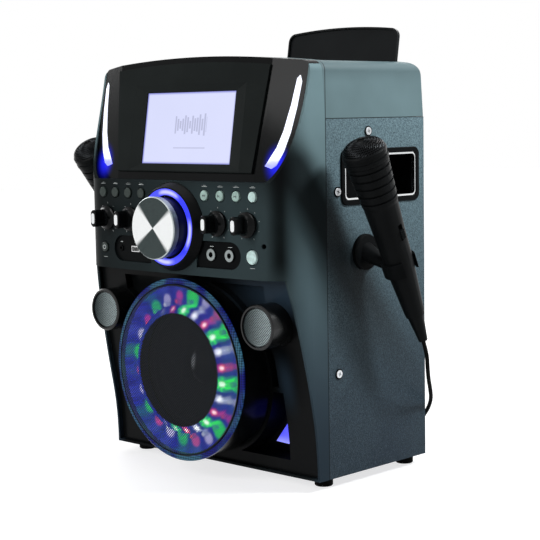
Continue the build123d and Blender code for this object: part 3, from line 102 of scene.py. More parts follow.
COIL_LAYERS, COIL_HALF_TURNS, COIL_INNER = 4, 7, 0.0185
LEAD_REST = 0.0077               # height of the lead's end in the plug
LEAD_RUN_OUT = 0.090             # lead between the coil and the plug
TICK_SWEEP = 300                 # degrees that the ticks of a control take up


def panel_face(x):
    """Y of the bowed control panel at this X."""
    return PANEL_FRONT + PANEL_BOW * (x / HALF_WIDTH) ** 2


def microphone_frame(side):
    """Matrix of a microphone: origin at its tail, Z up its axis, X away from the machine."""
    tilt = math.radians(MIC_TILTS[side])
    up = Vector((0, -math.sin(tilt), math.cos(tilt)))
    tail = Vector((side * MIC_X, *MIC_CLIP)) - up * MIC_REACHES[side]
    out = Vector((side, 0, 0))
    matrix = Matrix((out, up.cross(out), up)).transposed().to_4x4()
    matrix.translation = tail
    return matrix


# ---------------------------------------------------------------- sizes and colours a user may change
def length(name, default, description):
    """A length in metres."""
    return FloatProperty(
        name=name, default=default, description=description, unit="LENGTH", precision=5
    )


def colour(name, default, description):
    """A colour for a finish."""
    return FloatVectorProperty(
        name=name, default=default, description=description, subtype="COLOR", size=3
    )


class GrilleSizes(bpy.types.PropertyGroup):
    """Perforated sheets in front of the speakers."""

    speaker_pitch: length("Speaker pitch", 0.0024, "Distance between holes of the large grille")
    tweeter_pitch: length("Tweeter pitch", 0.0022, "Distance between holes of a tweeter's grille")
    opening: FloatProperty(
        name="Opening", default=0.66, min=0.1, max=0.9, subtype="FACTOR",
        description="Width of a hole as a share of the pitch",
    )
    sheet: length("Sheet", 0.0004, "Thickness of the perforated sheet")
    mic_wires: IntProperty(
        name="Microphone wires", default=44, min=12, max=90,
        description="Wires round the mesh of a microphone's head",
    )
    mic_wire: length("Wire", 0.00042, "Radius of a wire of the microphone's mesh")


class MarkSizes(bpy.types.PropertyGroup):
    """Printed marks on the panel."""

    line: length("Line", 0.0005, "Width of a printed line")
    proud: length("Proud", 0.00006, "Height of the print over the panel")
    dial_ticks: IntProperty(name="Dial ticks", default=21, min=3, description="Ticks round the dial")
    knob_ticks: IntProperty(name="Knob ticks", default=9, min=3, description="Dots round a knob")


class LeadSizes(bpy.types.PropertyGroup):
    """Microphone lead."""

    diameter: length("Diameter", 0.005, "Outside diameter of the lead")
    turn_points: IntProperty(name="Points", default=12, min=12, description="Points of one turn")


class BodyColours(bpy.types.PropertyGroup):
    """Colours of the machine."""

    vinyl: colour("Vinyl", (0.105, 0.158, 0.178), "Grained covering of the wooden box")
    housing: colour("Housing", (0.100, 0.150, 0.162), "Satin mouldings")
    black: colour("Black", (0.0040, 0.0046, 0.0050), "Black plastic")
    pale: colour("Pale", (0.40, 0.56, 0.51), "Pale buttons")
    dark_button: colour("Dark button", (0.030, 0.042, 0.038), "Dark buttons")
    steel: colour("Steel", (0.62, 0.64, 0.66), "Bright metal")


class LampColours(bpy.types.PropertyGroup):
    """Colours of the lamps."""

    blue: colour("Blue", (0.035, 0.045, 0.90), "Blue lamps")
    violet: colour("Violet", (0.55, 0.56, 1.0), "Pale stretches of the blue lamps")
    green: colour("Green", (0.02, 0.85, 0.06), "Green lamps")
    red: colour("Red", (0.95, 0.03, 0.10), "Red lamps")
    white: colour("White", (0.85, 0.90, 1.0), "White lamps")
    screen: colour("Screen", (0.68, 0.71, 0.97), "Lit screen")


# ---------------------------------------------------------------- finishes
FINISHES = {}


class Figure:
    """One number that runs through a finish. Arithmetic on it adds Math nodes."""

    def __init__(self, finish, socket):
        self.finish = finish
        self.socket = socket

    def reckon(self, operation, *others):
        node = self.finish.node(
            "ShaderNodeMath", {"operation": operation},
            dict(enumerate([self, *others])),
        )
        return Figure(self.finish, node.outputs[0])

    def __rsub__(self, other):
        node = self.finish.node("ShaderNodeMath", {"operation": "SUBTRACT"}, {0: other, 1: self})
        return Figure(self.finish, node.outputs[0])

    def between(self, low, high):
        """0 below low, 1 above high, and smooth between them."""
        node = self.finish.node(
            "ShaderNodeMapRange",
            {"interpolation_type": "SMOOTHSTEP", "clamp": True},
            {"Value": self, "From Min": low, "From Max": high},
        )
        return Figure(self.finish, node.outputs[0])

    def bell(self, middle, width):
        """1 at middle, falling to 0 a width away."""
        return 1 - (abs(self - middle) / width).between(0.0, 1.0)


def math_method(operation):
    return lambda self, *others: self.reckon(operation, *others)


for word, operation in (
    ("__add__", "ADD"), ("__radd__", "ADD"), ("__sub__", "SUBTRACT"), ("__mul__", "MULTIPLY"),
    ("__rmul__", "MULTIPLY"), ("__truediv__", "DIVIDE"), ("__pow__", "POWER"),
    ("__abs__", "ABSOLUTE"), ("above", "GREATER_THAN"), ("below", "LESS_THAN"),
    ("floor", "FLOOR"), ("fraction", "FRACT"), ("wave", "SINE"), ("most", "MAXIMUM"),
    ("least", "MINIMUM"),
):
    setattr(Figure, word, math_method(operation))


class Finish:
    """One material, made node by node."""

    def __init__(self, name):
        FINISHES[name] = self
        self.material = bpy.data.materials.new(name)
        self.material.use_nodes = True
        self.tree = self.material.node_tree
        self.tree.nodes.clear()
        self.shader = self.node("ShaderNodeBsdfPrincipled")
        self.node("ShaderNodeOutputMaterial", {}, {"Surface": self.shader.outputs[0]})
        self.spot = self.node("ShaderNodeTexCoord").outputs["Object"]

    def node(self, kind, settings=None, inputs=None):
        node = self.tree.nodes.new(kind)
        for key, value in (settings or {}).items():
            setattr(node, key, value)
        for key, value in (inputs or {}).items():
            self.feed(node.inputs[key], value)
        return node

    def feed(self, socket, value):
        """Links a socket, a figure or a node's first output, or sets a plain value."""
        if isinstance(value, Figure):
            value = value.socket
        if isinstance(value, bpy.types.NodeSocket):
            self.tree.links.new(value, socket)
        elif socket.type == "RGBA":
            socket.default_value = (*value, 1)
        else:
            socket.default_value = value

    def set(self, **sockets):
        for key, value in sockets.items():
            self.feed(self.shader.inputs[key.replace("_", " ")], value)

    def moved(self, middle=(0, 0, 0), turn=(0, 0, 0), scale=(1, 1, 1)):
        """Object coordinates with their origin at middle."""
        return self.node(
            "ShaderNodeMapping", {"vector_type": "TEXTURE"},
            {"Vector": self.spot, "Location": middle, "Rotation": turn, "Scale": scale},
        ).outputs[0]

    def axes(self, vector=None):
        node = self.node("ShaderNodeSeparateXYZ", {}, {0: vector or self.spot})
        return [Figure(self, socket) for socket in node.outputs]

    def radius_and_angle(self, across, up):
        """Distance from the axis, and the angle round it from 0 to 1."""
        radius = (across * across + up * up) ** 0.5
        angle = up.reckon("ARCTAN2", across) / (2 * math.pi)
        return radius, (angle + 1).fraction()

    def point(self, across, up):
        """Vector of two figures."""
        return self.node("ShaderNodeCombineXYZ", {}, {0: across, 1: up}).outputs[0]

    def noise(self, scale, detail=3.0, rough=0.55, vector=None):
        node = self.node(
            "ShaderNodeTexNoise", {},
            {"Vector": vector or self.spot, "Scale": scale, "Detail": detail, "Roughness": rough},
        )
        return Figure(self, node.outputs[0])

    def cells(self, scale):
        node = self.node("ShaderNodeTexVoronoi", {}, {"Vector": self.spot, "Scale": scale})
        return Figure(self, node.outputs["Distance"])

    def mix(self, share, first, second, mode="MIX"):
        """Colour between two colours."""
        node = self.node("ShaderNodeMix", {"data_type": "RGBA", "blend_type": mode})
        for index, value in ((0, share), (6, first), (7, second)):
            self.feed(node.inputs[index], value)
        return node.outputs[2]

    def bump(self, height, strength, distance=0.001):
        node = self.node(
            "ShaderNodeBump", {}, {"Strength": strength, "Distance": distance, "Height": height}
        )
        self.feed(self.shader.inputs["Normal"], node.outputs[0])


def shade(tone, share):
    """A colour times a number."""
    return tuple(min(1.0, part * share) for part in tone)


def finish_of(name):
    return FINISHES[name].material


def dress(node, name):
    """Gives a CAD node a finish in every slot."""
    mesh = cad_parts[node].data
    mesh.materials.clear()
    mesh.materials.append(finish_of(name))
    for face in mesh.polygons:
        face.material_index = 0


def dress_all(table):
    """Gives each finish to the CAD nodes named beside it."""
    for name, nodes in table.items():
        for node in nodes.split():
            dress(node, name)


def worn_black(name, tone, rough, gloss=0.04, grain=900, grain_depth=0.12, coat=0.0):
    """Moulded plastic with a fine grain, faint smears and uneven gloss."""
    finish = Finish(name)
    smear = finish.noise(9, 4)
    grain_height = finish.noise(grain, 2)
    finish.set(
        Base_Color=finish.mix(smear.between(0.3, 0.75), shade(tone, 0.8), shade(tone, 1.25)),
        Roughness=smear * 0.12 + (rough - 0.06),
        Specular_IOR_Level=gloss,
        Coat_Weight=coat,
        Coat_Roughness=0.06,
    )
    finish.bump(grain_height, grain_depth, 0.0004)
    return finish


DARK = (0.003, 0.0035, 0.004)    # seams and shade


def seam_lines(y, z):
    """1 along the joints between the box, the top cover and the front moulding."""
    upright = y.bell(SEAM, 0.0011)
    level = z.bell(COVER_EDGE, 0.0010) * y.above(SEAM)
    return upright.most(level).least(1.0)


def shaded_band(x, y, z):
    """1 along a slanting band on the right side: a painted shade, not one that a lamp casts."""
    across = abs(z + y * 1.37 - 0.258) / 1.70
    fade = z.between(0.06, 0.27) * (1 - z.between(0.385, 0.44))
    return (1 - across.between(0.010, 0.046)) * fade * x.above(0.0)


def make_vinyl(tones):
    finish = Finish("vinyl_board")
    x, y, z = finish.axes()
    grain = finish.cells(520)
    fleck = finish.noise(1300, 1, 0.5)
    cloud = finish.noise(5, 3)
    # painted light: the box is painted lighter towards the top and darker and bluer at the bottom, as the
    # light falls
    high = z.between(0.02, 0.50)
    tone = finish.mix(high, (0.019, 0.033, 0.050), shade(tones.vinyl, 1.5))
    tone = finish.mix(cloud.between(0.35, 0.7) * 0.15, tone, shade(tones.vinyl, 0.9))
    tone = finish.mix((1 - grain.between(0.15, 0.55)) * 0.6, tone, shade(tones.vinyl, 0.22))
    tone = finish.mix(fleck.between(0.60, 0.74) * 0.3, tone, (0.30, 0.38, 0.42))
    mottle = finish.noise(620, 2, 0.6).between(0.40, 0.60) * 0.9
    tone = finish.mix(mottle, tone, (0.60, 0.62, 0.64), "MULTIPLY")
    tone = finish.mix(shaded_band(x, y, z) * 0.85, tone, DARK)
    tone = finish.mix(seam_lines(y, z), tone, DARK)
    finish.set(Base_Color=tone, Roughness=grain * -0.2 + 0.62, Specular_IOR_Level=0.1)
    finish.bump(grain * 0.7 + fleck * 0.3, 0.4, 0.0006)


def make_back(tones):
    finish = Finish("back_board")
    fibre = finish.noise(60, 5, 0.7, finish.moved(scale=(1, 1, 0.15)))
    finish.set(
        Base_Color=finish.mix(fibre, shade(tones.black, 1.2), (0.035, 0.034, 0.034)),
        Roughness=fibre * 0.2 + 0.6,
        Specular_IOR_Level=0.3,
    )
    finish.bump(fibre, 0.2, 0.0005)


def make_housing(tones):
    """Satin moulding with painted light: the side wraps are painted lighter towards the top, the panel
    darker to its left, with a painted shade in the panel's top corners and the painted shaded band on the
    right side.
    """
    finish = Finish("satin_plastic")
    x, y, z = finish.axes()
    smear = finish.noise(7, 3)
    grain = finish.noise(1100, 2)
    # painted light: the side wraps are painted lighter towards the top and darker and bluer at the
    # bottom, as the light falls
    side = finish.mix(z.between(0.02, 0.50), (0.019, 0.031, 0.046), shade(tones.housing, 1.65))
    # painted light: the panel is painted darker to the left and lighter to the right
    front = finish.mix(x.between(-0.15, 0.13), shade(tones.housing, 0.03), shade(tones.housing, 0.36))
    # painted shade in the panel's top corners, where it turns into the side wraps
    corner = abs(x).between(0.146, 0.162) * z.between(0.235, 0.275)
    front = finish.mix(corner, front, shade(tones.housing, 0.05))
    front = finish.mix(z.between(0.215, 0.235), DARK, front)
    tone = finish.mix(abs(x).between(0.163, 0.1782), front, side)
    tone = finish.mix(smear.between(0.4, 0.7) * 0.2, tone, shade(tones.housing, 0.3))
    tone = finish.mix(shaded_band(x, y, z) * 0.92, tone, DARK)
    tone = finish.mix(seam_lines(y, z), tone, DARK)
    finish.set(Base_Color=tone, Roughness=smear * 0.1 + 0.36, Specular_IOR_Level=0.03)
    finish.bump(grain, 0.08, 0.0003)


def make_cover(tones):
    finish = Finish("top_cover_satin")
    x, y, z = finish.axes()
    smear = finish.noise(7, 3)
    grain = finish.noise(1100, 2)
    tone = finish.mix(smear.between(0.35, 0.7), shade(tones.housing, 1.15), shade(tones.housing, 1.40))
    tone = finish.mix(z.between(0.47, 0.50), tone, shade(tones.housing, 0.85))
    tone = finish.mix(seam_lines(y, z), tone, DARK)
    finish.set(Base_Color=tone, Roughness=smear * 0.1 + 0.4, Specular_IOR_Level=0.1)
    finish.bump(grain, 0.08, 0.0003)


def make_pale_button(name, tone):
    """Half-clear cap with a cloudy tone and a fine grain."""
    finish = Finish(name)
    cloud = finish.noise(180, 3)
    rim = finish.noise(900, 1)
    finish.set(
        Base_Color=finish.mix(cloud.between(0.3, 0.7), shade(tone, 0.85), shade(tone, 1.15)),
        Roughness=cloud * 0.15 + 0.25,
        Specular_IOR_Level=0.2,
    )
    finish.bump(rim, 0.05, 0.0002)


def make_metal(name, tone, rough, grain_scale=(1, 1, 1), grain=400, depth=0.1):
    finish = Finish(name)
    streak = finish.noise(grain, 3, 0.6, finish.moved(scale=grain_scale))
    finish.set(
        Base_Color=finish.mix(streak, shade(tone, 0.8), shade(tone, 1.1)),
        Roughness=streak * 0.16 + (rough - 0.08),
        Metallic=1.0,
    )
    finish.bump(streak, depth, 0.0002)


def make_dial():
    """Spun face: rings of the lathe, and painted reflections: the bright and dark wedges that the rings
    would throw, painted into colour and metalness.
    """
    finish = Finish("spun_aluminium")
    x, y, z = finish.axes()
    across, up = x, z - DIAL_HEIGHT
    radius, turn = finish.radius_and_angle(across, up)
    rings = (radius * 9000).wave() * 0.5 + 0.5
    streaks = finish.noise(60, 3, 0.6, finish.point(turn * 40, radius * 3))
    hairs = finish.noise(30, 2, 0.6, finish.point(turn * 90, 0.4))
    face = y.below(DIAL_FACE + 0.0009)
    # painted reflection: bright wedges in the colour, made less metallic, where the lathe rings would
    # throw highlights
    lean = abs(((turn * 2 + 0.03).fraction() - 0.5) * 2)
    painted_reflection_wedge = lean.between(0.48, 0.62)
    tone = finish.mix(painted_reflection_wedge, (0.016, 0.025, 0.025), (0.97, 0.99, 0.99))
    tone = finish.mix(streaks.between(0.35, 0.75) * 0.08, tone, (0.5, 0.55, 0.56))
    tone = finish.mix(hairs.between(0.52, 0.62) * 0.28, tone, (0.25, 0.30, 0.30))
    edge = finish.mix(streaks, (0.30, 0.34, 0.35), (0.62, 0.68, 0.68))
    rim = radius.above(0.0361)
    tone = finish.mix((face * (1 - rim)), edge, tone)
    skirt = y.above(RING_FRONT - 0.0132)
    tone = finish.mix(skirt, tone, (0.02, 0.022, 0.024))
    finish.set(
        Base_Color=tone,
        Roughness=streaks * 0.15 + 0.28,
        Metallic=1 - painted_reflection_wedge * face * 0.7,
    )
    finish.bump(rings, 0.08, 0.0001)


def make_collar(tones):
    finish = Finish("dial_collar_black")
    x, y, z = finish.axes()
    radius, turn = finish.radius_and_angle(x, z - DIAL_HEIGHT)
    rings = (radius * 5000).wave()
    smear = finish.noise(30, 3)
    finish.set(
        Base_Color=finish.mix(smear, shade(tones.black, 0.6), shade(tones.black, 1.1)),
        Roughness=smear * 0.15 + 0.3,
        Specular_IOR_Level=0.06,
    )
    finish.bump(rings, 0.05, 0.0001)


def make_light_ring(lamps):
    """Blue ring with paler stretches where its lamps stand."""
    finish = Finish("dial_ring_lit")
    x, y, z = finish.axes()
    radius, turn = finish.radius_and_angle(x, z - DIAL_HEIGHT)
    stretch = (turn * (2 * math.pi * 4) + 2.2).wave()
    cloud = finish.noise(90, 2)
    pale = (stretch * 0.5 + cloud * 0.6).between(0.05, 0.75)
    middle = radius.bell(0.0418, 0.0042)
    tone = finish.mix(pale * middle, lamps.blue, lamps.violet)
    finish.set(
        Base_Color=shade(lamps.blue, 0.3), Roughness=0.3,
        Emission_Color=tone, Emission_Strength=1.15,
    )


def make_guides():
    """White light guides with deep blue edges, bluer towards their lower ends."""
    finish = Finish("light_guide_lit")
    x, y, z = finish.axes()
    low = z.between(0.375, 0.405)
    cloud = finish.noise(40, 2)
    core = (low * 0.75 + cloud * 0.4).between(0.25, 0.6)
    tone = finish.mix(core, (0.16, 0.18, 1.0), (0.86, 0.90, 1.0))
    finish.set(
        Base_Color=(0.3, 0.3, 0.5), Roughness=0.3,
        Emission_Color=tone, Emission_Strength=1.25,
    )


def make_frame(tones):
    """Gloss black frame with a painted blue glow near the lower ends of the light guides."""
    finish = worn_black("frame_black", tones.black, 0.2, 0.06, 600, 0.03)
    low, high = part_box("light_guides")
    x, y, z = finish.axes()
    # painted glow: blue emission on the frame near the lower ends of the guides
    near = ((abs(x) - (high.x - 0.020)) ** 2 + ((z - low.z - 0.006) * 0.8) ** 2) ** 0.5
    glow = 1 - near.between(0.004, 0.024)
    finish.set(
        Emission_Color=finish.mix(glow ** 2, (0.0, 0.0, 0.0), (0.010, 0.012, 0.75)),
        Emission_Strength=1.2,
    )


def make_drum(tones):
    """Gloss black drum with a painted blue glow on its rolled front edge, standing in for the ring's
    light seen through the mesh rolled over it.
    """
    finish = worn_black("drum_black", tones.black, 0.2, 0.06, 600, 0.03)
    x, y, z = finish.axes()
    radius, turn = finish.radius_and_angle(x, z - SPEAKER_HEIGHT)
    # painted glow: emission in the ring's blue on the drum's front edge, through the pattern of the mesh
    painted_glow_on_lip = radius.above(0.1005) * y.below(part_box("speaker_drum")[0].y + 0.003)
    weave = weave_of(x, z)
    patch = finish.noise(28, 2)
    tone = finish.mix(patch.between(0.4, 0.65), (0.008, 0.012, 0.22), (0.05, 0.17, 0.26))
    finish.set(
        Emission_Color=finish.mix(painted_glow_on_lip * (weave * 0.75 + 0.25), (0.0, 0.0, 0.0), tone),
        Emission_Strength=0.8,
    )


def make_surround(tones):
    """Black surround with painted light from the right: blue-grey above the right half of the woofer and
    on a post to its right.
    """
    finish = worn_black("surround_black", shade(tones.black, 0.9), 0.32, 0.05, 800, 0.06)
    x, y, z = finish.axes()
    # painted light: blue-grey patches above the woofer's right half and on a post to its right
    painted_light_above = x.between(0.04, 0.13) * z.between(0.195, 0.235)
    painted_light_pillar = x.bell(0.135, 0.02) * z.bell(0.125, 0.05) * 0.6
    tone = finish.mix(painted_light_above.most(painted_light_pillar), shade(tones.black, 0.9), (0.021, 0.037, 0.056))
    finish.set(Base_Color=tone)


def make_grille():
    """Black mesh with a painted glow: its wires over the lamp ring get the lamps' colours in emission, as
    if lit by the lamps behind them.
    """
    finish = Finish("grille_steel")
    x, y, z = finish.axes()
    radius, turn = finish.radius_and_angle(x, z - SPEAKER_HEIGHT)
    cloud = finish.noise(24, 3)
    spark = finish.noise(700, 1)
    # painted glow: emission on the wires outside 0.07 m, in the lamps' colours
    lit = radius.between(0.0685, 0.0700)
    tone = finish.mix(cloud.between(0.42, 0.62), (0.012, 0.020, 0.24), (0.030, 0.150, 0.150))
    tone = finish.mix(spark.between(0.5, 0.7) * 0.5, tone, (0.20, 0.26, 0.60))
    finish.set(
        Base_Color=(0.016, 0.018, 0.021), Metallic=1.0, Roughness=spark * 0.2 + 0.32,
        Emission_Color=finish.mix(lit, (0.0, 0.0, 0.0), tone), Emission_Strength=0.3,
    )


def make_tweeter_mesh():
    """Silver mesh over the rings of the tweeter's horn, with painted light: darker to the left and
    brighter to the right.
    """
    finish = Finish("tweeter_steel")
    x, y, z = finish.axes()
    middle = abs(x) - POD_PLACES[1]
    across = middle * (x.above(0.0) * 2 - 1)
    radius = (middle * middle + (z - POD_HEIGHT) ** 2) ** 0.5
    rings = (radius * 2400).wave() * 0.5 + 0.5
    grain = finish.noise(900, 2)
    # painted light: darker to the left of each pod's middle, brighter to the right
    tone = finish.mix(across.between(-0.024, 0.018), (0.045, 0.060, 0.062), (0.36, 0.43, 0.44))
    tone = finish.mix(rings * 0.35 + grain * 0.2, tone, (0.020, 0.026, 0.028))
    finish.set(Base_Color=tone, Metallic=1.0, Roughness=grain * 0.2 + 0.26)


def make_foot_lamp():
    finish = Finish("foot_lamp_lit")
    x, y, z = finish.axes()
    cloud = finish.noise(60, 2)
    high = (z + cloud * 0.006).between(0.044, 0.062)
    tone = finish.mix(high, (0.40, 0.43, 1.0), (0.02, 0.025, 0.85))
    finish.set(
        Base_Color=(0.2, 0.2, 0.5), Roughness=0.3,
        Emission_Color=tone, Emission_Strength=1.1,
    )


def weave_of(x, z):
    """Points of a diamond mesh, 1 in an opening and 0 on a wire."""
    step = 2 * math.pi / 0.0030
    return (((x + z) * (step / 2)).wave() * ((x - z) * (step / 2)).wave()).between(-0.45, 0.45)


def lamp_pattern(finish, lamps):
    """Radius, angle, colour and glow of the lamps round the woofer."""
    x, y, z = finish.axes()
    radius, turn = finish.radius_and_angle(x, z - SPEAKER_HEIGHT)
    place = turn * LAMP_COUNT
    number = place.floor()
    off = (place.fraction() - 0.5) * (2 * math.pi / LAMP_COUNT)
    kind = ((number + LAMP_START) / 3).fraction() * 3
    green = kind.below(0.5)
    red = kind.above(0.5) * kind.below(1.5)
    tone = finish.mix(green, lamps.white, lamps.green)
    tone = finish.mix(red, tone, lamps.red)
    return radius, turn, off, number, tone, green


def make_lamp_ring(lamps):
    """Blue channel: bright points on the cone round the woofer, and patches that they throw outwards."""
    finish = Finish("lamp_ring_lit")
    radius, turn, off, number, tone, green = lamp_pattern(finish, lamps)
    x, y, z = finish.axes()
    on_cone = y.below(LAMP_CONE_BACK)
    tangent = off * radius
    from_point = ((tangent * tangent) + (radius - LAMP_POINT_RADIUS) ** 2) ** 0.5
    from_patch = ((tangent * tangent) + (radius - LAMP_PATCH_RADIUS) ** 2) ** 0.5
    facing = (turn * (2 * math.pi)).reckon("COSINE").between(-0.5, 0.3)
    size = finish.noise(1, 0, 0.5, finish.point(number * 3.7, 0.35)).between(0.3, 0.62)
    core = (1 - (from_point / (green * 0.0012 + 0.0036)).between(0.35, 1.0)) * facing
    # painted glints: eight rays round each lamp's bright point, larger round green ones; they, the cores
    # and the halos are strongest on the lamps towards the right
    rays = abs(((radius - LAMP_POINT_RADIUS).reckon("ARCTAN2", tangent) * 4).reckon("COSINE")) ** 8
    painted_star_glint = rays * (1 - (from_point / (green * 0.009 + 0.008)).between(0.1, 1.0)) * facing
    halo = (1 - (from_point / (green * 0.006 + 0.007)).between(0.2, 1.0)) * facing
    reach = green * 0.0040 + size * 0.0025 + 0.0072
    patch = (1 - (from_patch / reach).between(0.45, 1.0)) * (1 - on_cone)
    fan = (1 - (abs(tangent) / 0.0125).between(0.1, 1.0)) * (1 - on_cone)
    streaks = finish.noise(22, 3, 0.7, finish.point(turn * 34, radius * 6))
    blue = finish.mix(streaks.between(0.35, 0.7), (0.001, 0.0015, 0.058), (0.008, 0.014, 0.30))
    haze = finish.mix(green, (0.024, 0.034, 0.26), (0.008, 0.16, 0.07))
    blue = finish.mix(fan * (size * 0.5 + 0.3), blue, haze)
    spot = finish.mix(0.35, tone, (0.30, 0.06, 0.75))
    spot = finish.mix(0.45, finish.mix(green, spot, tone), (0.0, 0.0, 0.0))
    glow = patch * (size * 0.35 + 0.6) * (streaks * 0.4 + 0.8)
    mixed = finish.mix(glow.least(1.0), blue, spot)
    mixed = finish.mix((painted_star_glint + halo * 0.55).least(1.0), mixed, tone)
    mixed = finish.mix(core, mixed, finish.mix(0.7, tone, (1.0, 1.0, 1.0)))
    hidden = (1 - on_cone) * radius.below(0.0769)
    finish.set(
        Base_Color=(0.01, 0.012, 0.05), Roughness=0.25, Specular_IOR_Level=0.1,
        Emission_Color=finish.mix(hidden, mixed, (0.0, 0.0, 0.0)), Emission_Strength=3.2,
    )


def make_lamp_caps(lamps):
    finish = Finish("lamp_cap_lit")
    radius, turn, off, number, tone, green = lamp_pattern(finish, lamps)
    near = (abs(off * radius) ** 2 + abs(radius - LAMP_CAP_RADIUS) ** 2) ** 0.5
    finish.set(
        Base_Color=(0.1, 0.1, 0.2), Roughness=0.2,
        Emission_Color=finish.mix((near / 0.0032).between(0.2, 1.0) * 0.6, tone, (0.02, 0.03, 0.4)),
        Emission_Strength=1.3,
    )


def make_screen(lamps):
    """Lit picture: a pale field with level bars, its dark edge and the housing behind it."""
    finish = Finish("screen_lit")
    place = finish.moved(tuple(SCREEN_MIDDLE), (-SCREEN_LEAN, 0, 0))
    x, y, z = finish.axes(place)
    inside = (abs(x).below(0.07705)) * (abs(z).below(0.0433)) * y.below(0.002)
    edge = 1 - (1 - abs(x).between(0.0735, 0.0772)) * (1 - abs(z).between(0.0402, 0.0434))
    cloud = finish.noise(14, 2, 0.5, place)
    tone = finish.mix(cloud, shade(lamps.screen, 0.96), shade(lamps.screen, 1.04))
    tone = finish.mix((x + 0.08).between(0.0, 0.16) * 0.35, tone, (0.72, 0.75, 1.0))
    tone = finish.mix(edge * 0.75, tone, (0.10, 0.11, 0.62))
    column = (x / 0.0042).floor()
    level = finish.noise(1, 1, 0.5, finish.point(column * 1.37, 0.2)).between(0.25, 0.75) * 0.013 + 0.002
    bars = (
        ((x / 0.0042).fraction()).above(0.3)
        * abs(z - 0.004).below(level)
        * abs(x - 0.004).below(0.0275)
    )
    tone = finish.mix(bars * 0.42, tone, (0.20, 0.21, 0.34))
    track = abs(z + 0.024).below(0.0007) * abs(x - 0.004).below(0.0275)
    tone = finish.mix(track * 0.35, tone, (0.20, 0.21, 0.34))
    finish.set(
        Base_Color=(0.01, 0.01, 0.012), Roughness=0.12, Specular_IOR_Level=0.3,
        Emission_Color=finish.mix(inside, (0.0, 0.0, 0.0), tone), Emission_Strength=0.98,
    )


def make_cone():
    """Paper cone with fine rings and a shinier dust cap that carries a painted highlight."""
    finish = Finish("cone_paper")
    x, y, z = finish.axes()
    radius, turn = finish.radius_and_angle(x, z - SPEAKER_HEIGHT)
    pulp = finish.noise(220, 5, 0.7)
    rings = (radius * 1400).wave()
    cap = radius.below(0.023)
    tone = finish.mix(pulp, (0.006, 0.007, 0.008), (0.022, 0.024, 0.027))
    # painted highlight on the dust cap, a little to the left of and above its middle
    from_painted_cap_highlight = ((x + 0.011) ** 2 + ((z - SPEAKER_HEIGHT - 0.005) * 0.7) ** 2) ** 0.5
    painted_cap_highlight = (1 - (from_painted_cap_highlight / 0.009).between(0.2, 1.0)) * cap
    tone = finish.mix(cap, tone, (0.012, 0.013, 0.015))
    tone = finish.mix(painted_cap_highlight, tone, (0.80, 0.84, 0.90))
    finish.set(Base_Color=tone, Roughness=0.75 - cap * 0.3, Specular_IOR_Level=0.08)
    finish.bump(pulp * 0.6 + rings * 0.3, 0.25, 0.0006)


def make_socket_finish():
    """White tongue inside a bright shell."""
    finish = Finish("usb_metal")
    x, y, z = finish.axes()
    tongue = abs(x + 0.071).below(0.0058) * abs(z - LOW_ROW).below(0.0022)
    worn = finish.noise(500, 3)
    finish.set(
        Base_Color=finish.mix(
            tongue, finish.mix(worn, (0.55, 0.56, 0.57), (0.8, 0.8, 0.8)), (0.75, 0.76, 0.74)
        ),
        Metallic=1 - tongue,
        Roughness=worn * 0.2 + 0.2,
    )


def make_knob(tones):
    """Gloss black bell."""
    finish = Finish("knob_black")
    smear = finish.noise(60, 3)
    finish.set(
        Base_Color=finish.mix(smear, shade(tones.black, 0.7), shade(tones.black, 1.4)),
        Roughness=smear * 0.14 + 0.12,
        Specular_IOR_Level=0.08,
    )


def make_mic_body(tones):
    finish = Finish("microphone_black")
    grip = finish.noise(700, 2)
    smear = finish.noise(25, 3)
    finish.set(
        Base_Color=finish.mix(smear, shade(tones.black, 0.6), shade(tones.black, 1.3)),
        Roughness=smear * 0.16 + 0.34,
        Specular_IOR_Level=0.04,
    )
    finish.bump(grip, 0.15, 0.0003)


def make_all_finishes():
    tones = bpy.context.scene.karaoke_tones
    lamps = bpy.context.scene.karaoke_lamps
    make_vinyl(tones)
    make_back(tones)
    make_housing(tones)
    make_cover(tones)
    worn_black("black_plastic", tones.black, 0.42, 0.02)
    worn_black("lid_black", shade(tones.black, 2.0), 0.3, 0.06, 700, 0.06)
    worn_black("bezel_black", (0.0095, 0.0120, 0.0118), 0.38)
    worn_black("pod_black", tones.black, 0.26, 0.3, 700, 0.04)
    make_surround(tones)
    make_grille()
    make_tweeter_mesh()
    worn_black("rubber_black", (0.004, 0.004, 0.004), 0.75, 0.05, 300, 0.3)
    worn_black("foam_black", (0.003, 0.003, 0.003), 0.9, 0.05, 1400, 0.9)
    worn_black("basket_steel", (0.004, 0.004, 0.005), 0.5, 0.1, 500, 0.15)
    make_pale_button("pale_button", tones.pale)
    make_pale_button("dark_button", tones.dark_button)
    make_pale_button("white_button", (0.66, 0.88, 0.84))
    make_pale_button("print_white", (0.62, 0.66, 0.66))
    make_pale_button("print_grey", (0.10, 0.13, 0.13))
    make_metal("chrome", (0.78, 0.80, 0.81), 0.16, grain=300, depth=0.03)
    make_metal("steel", tones.steel, 0.32, (1, 1, 6))
    make_metal("jack_steel", (0.26, 0.29, 0.29), 0.3, grain=300, depth=0.03)
    make_metal("rim_black", (0.006, 0.007, 0.008), 0.3, grain=900)
    make_metal("wire_black", (0.012, 0.013, 0.014), 0.32, grain=900)
    make_dial()
    make_collar(tones)
    make_light_ring(lamps)
    make_guides()
    make_frame(tones)
    make_drum(tones)
    make_foot_lamp()
    make_lamp_ring(lamps)
    make_lamp_caps(lamps)
    make_screen(lamps)
    make_cone()
    make_socket_finish()
    make_knob(tones)
    make_mic_body(tones)


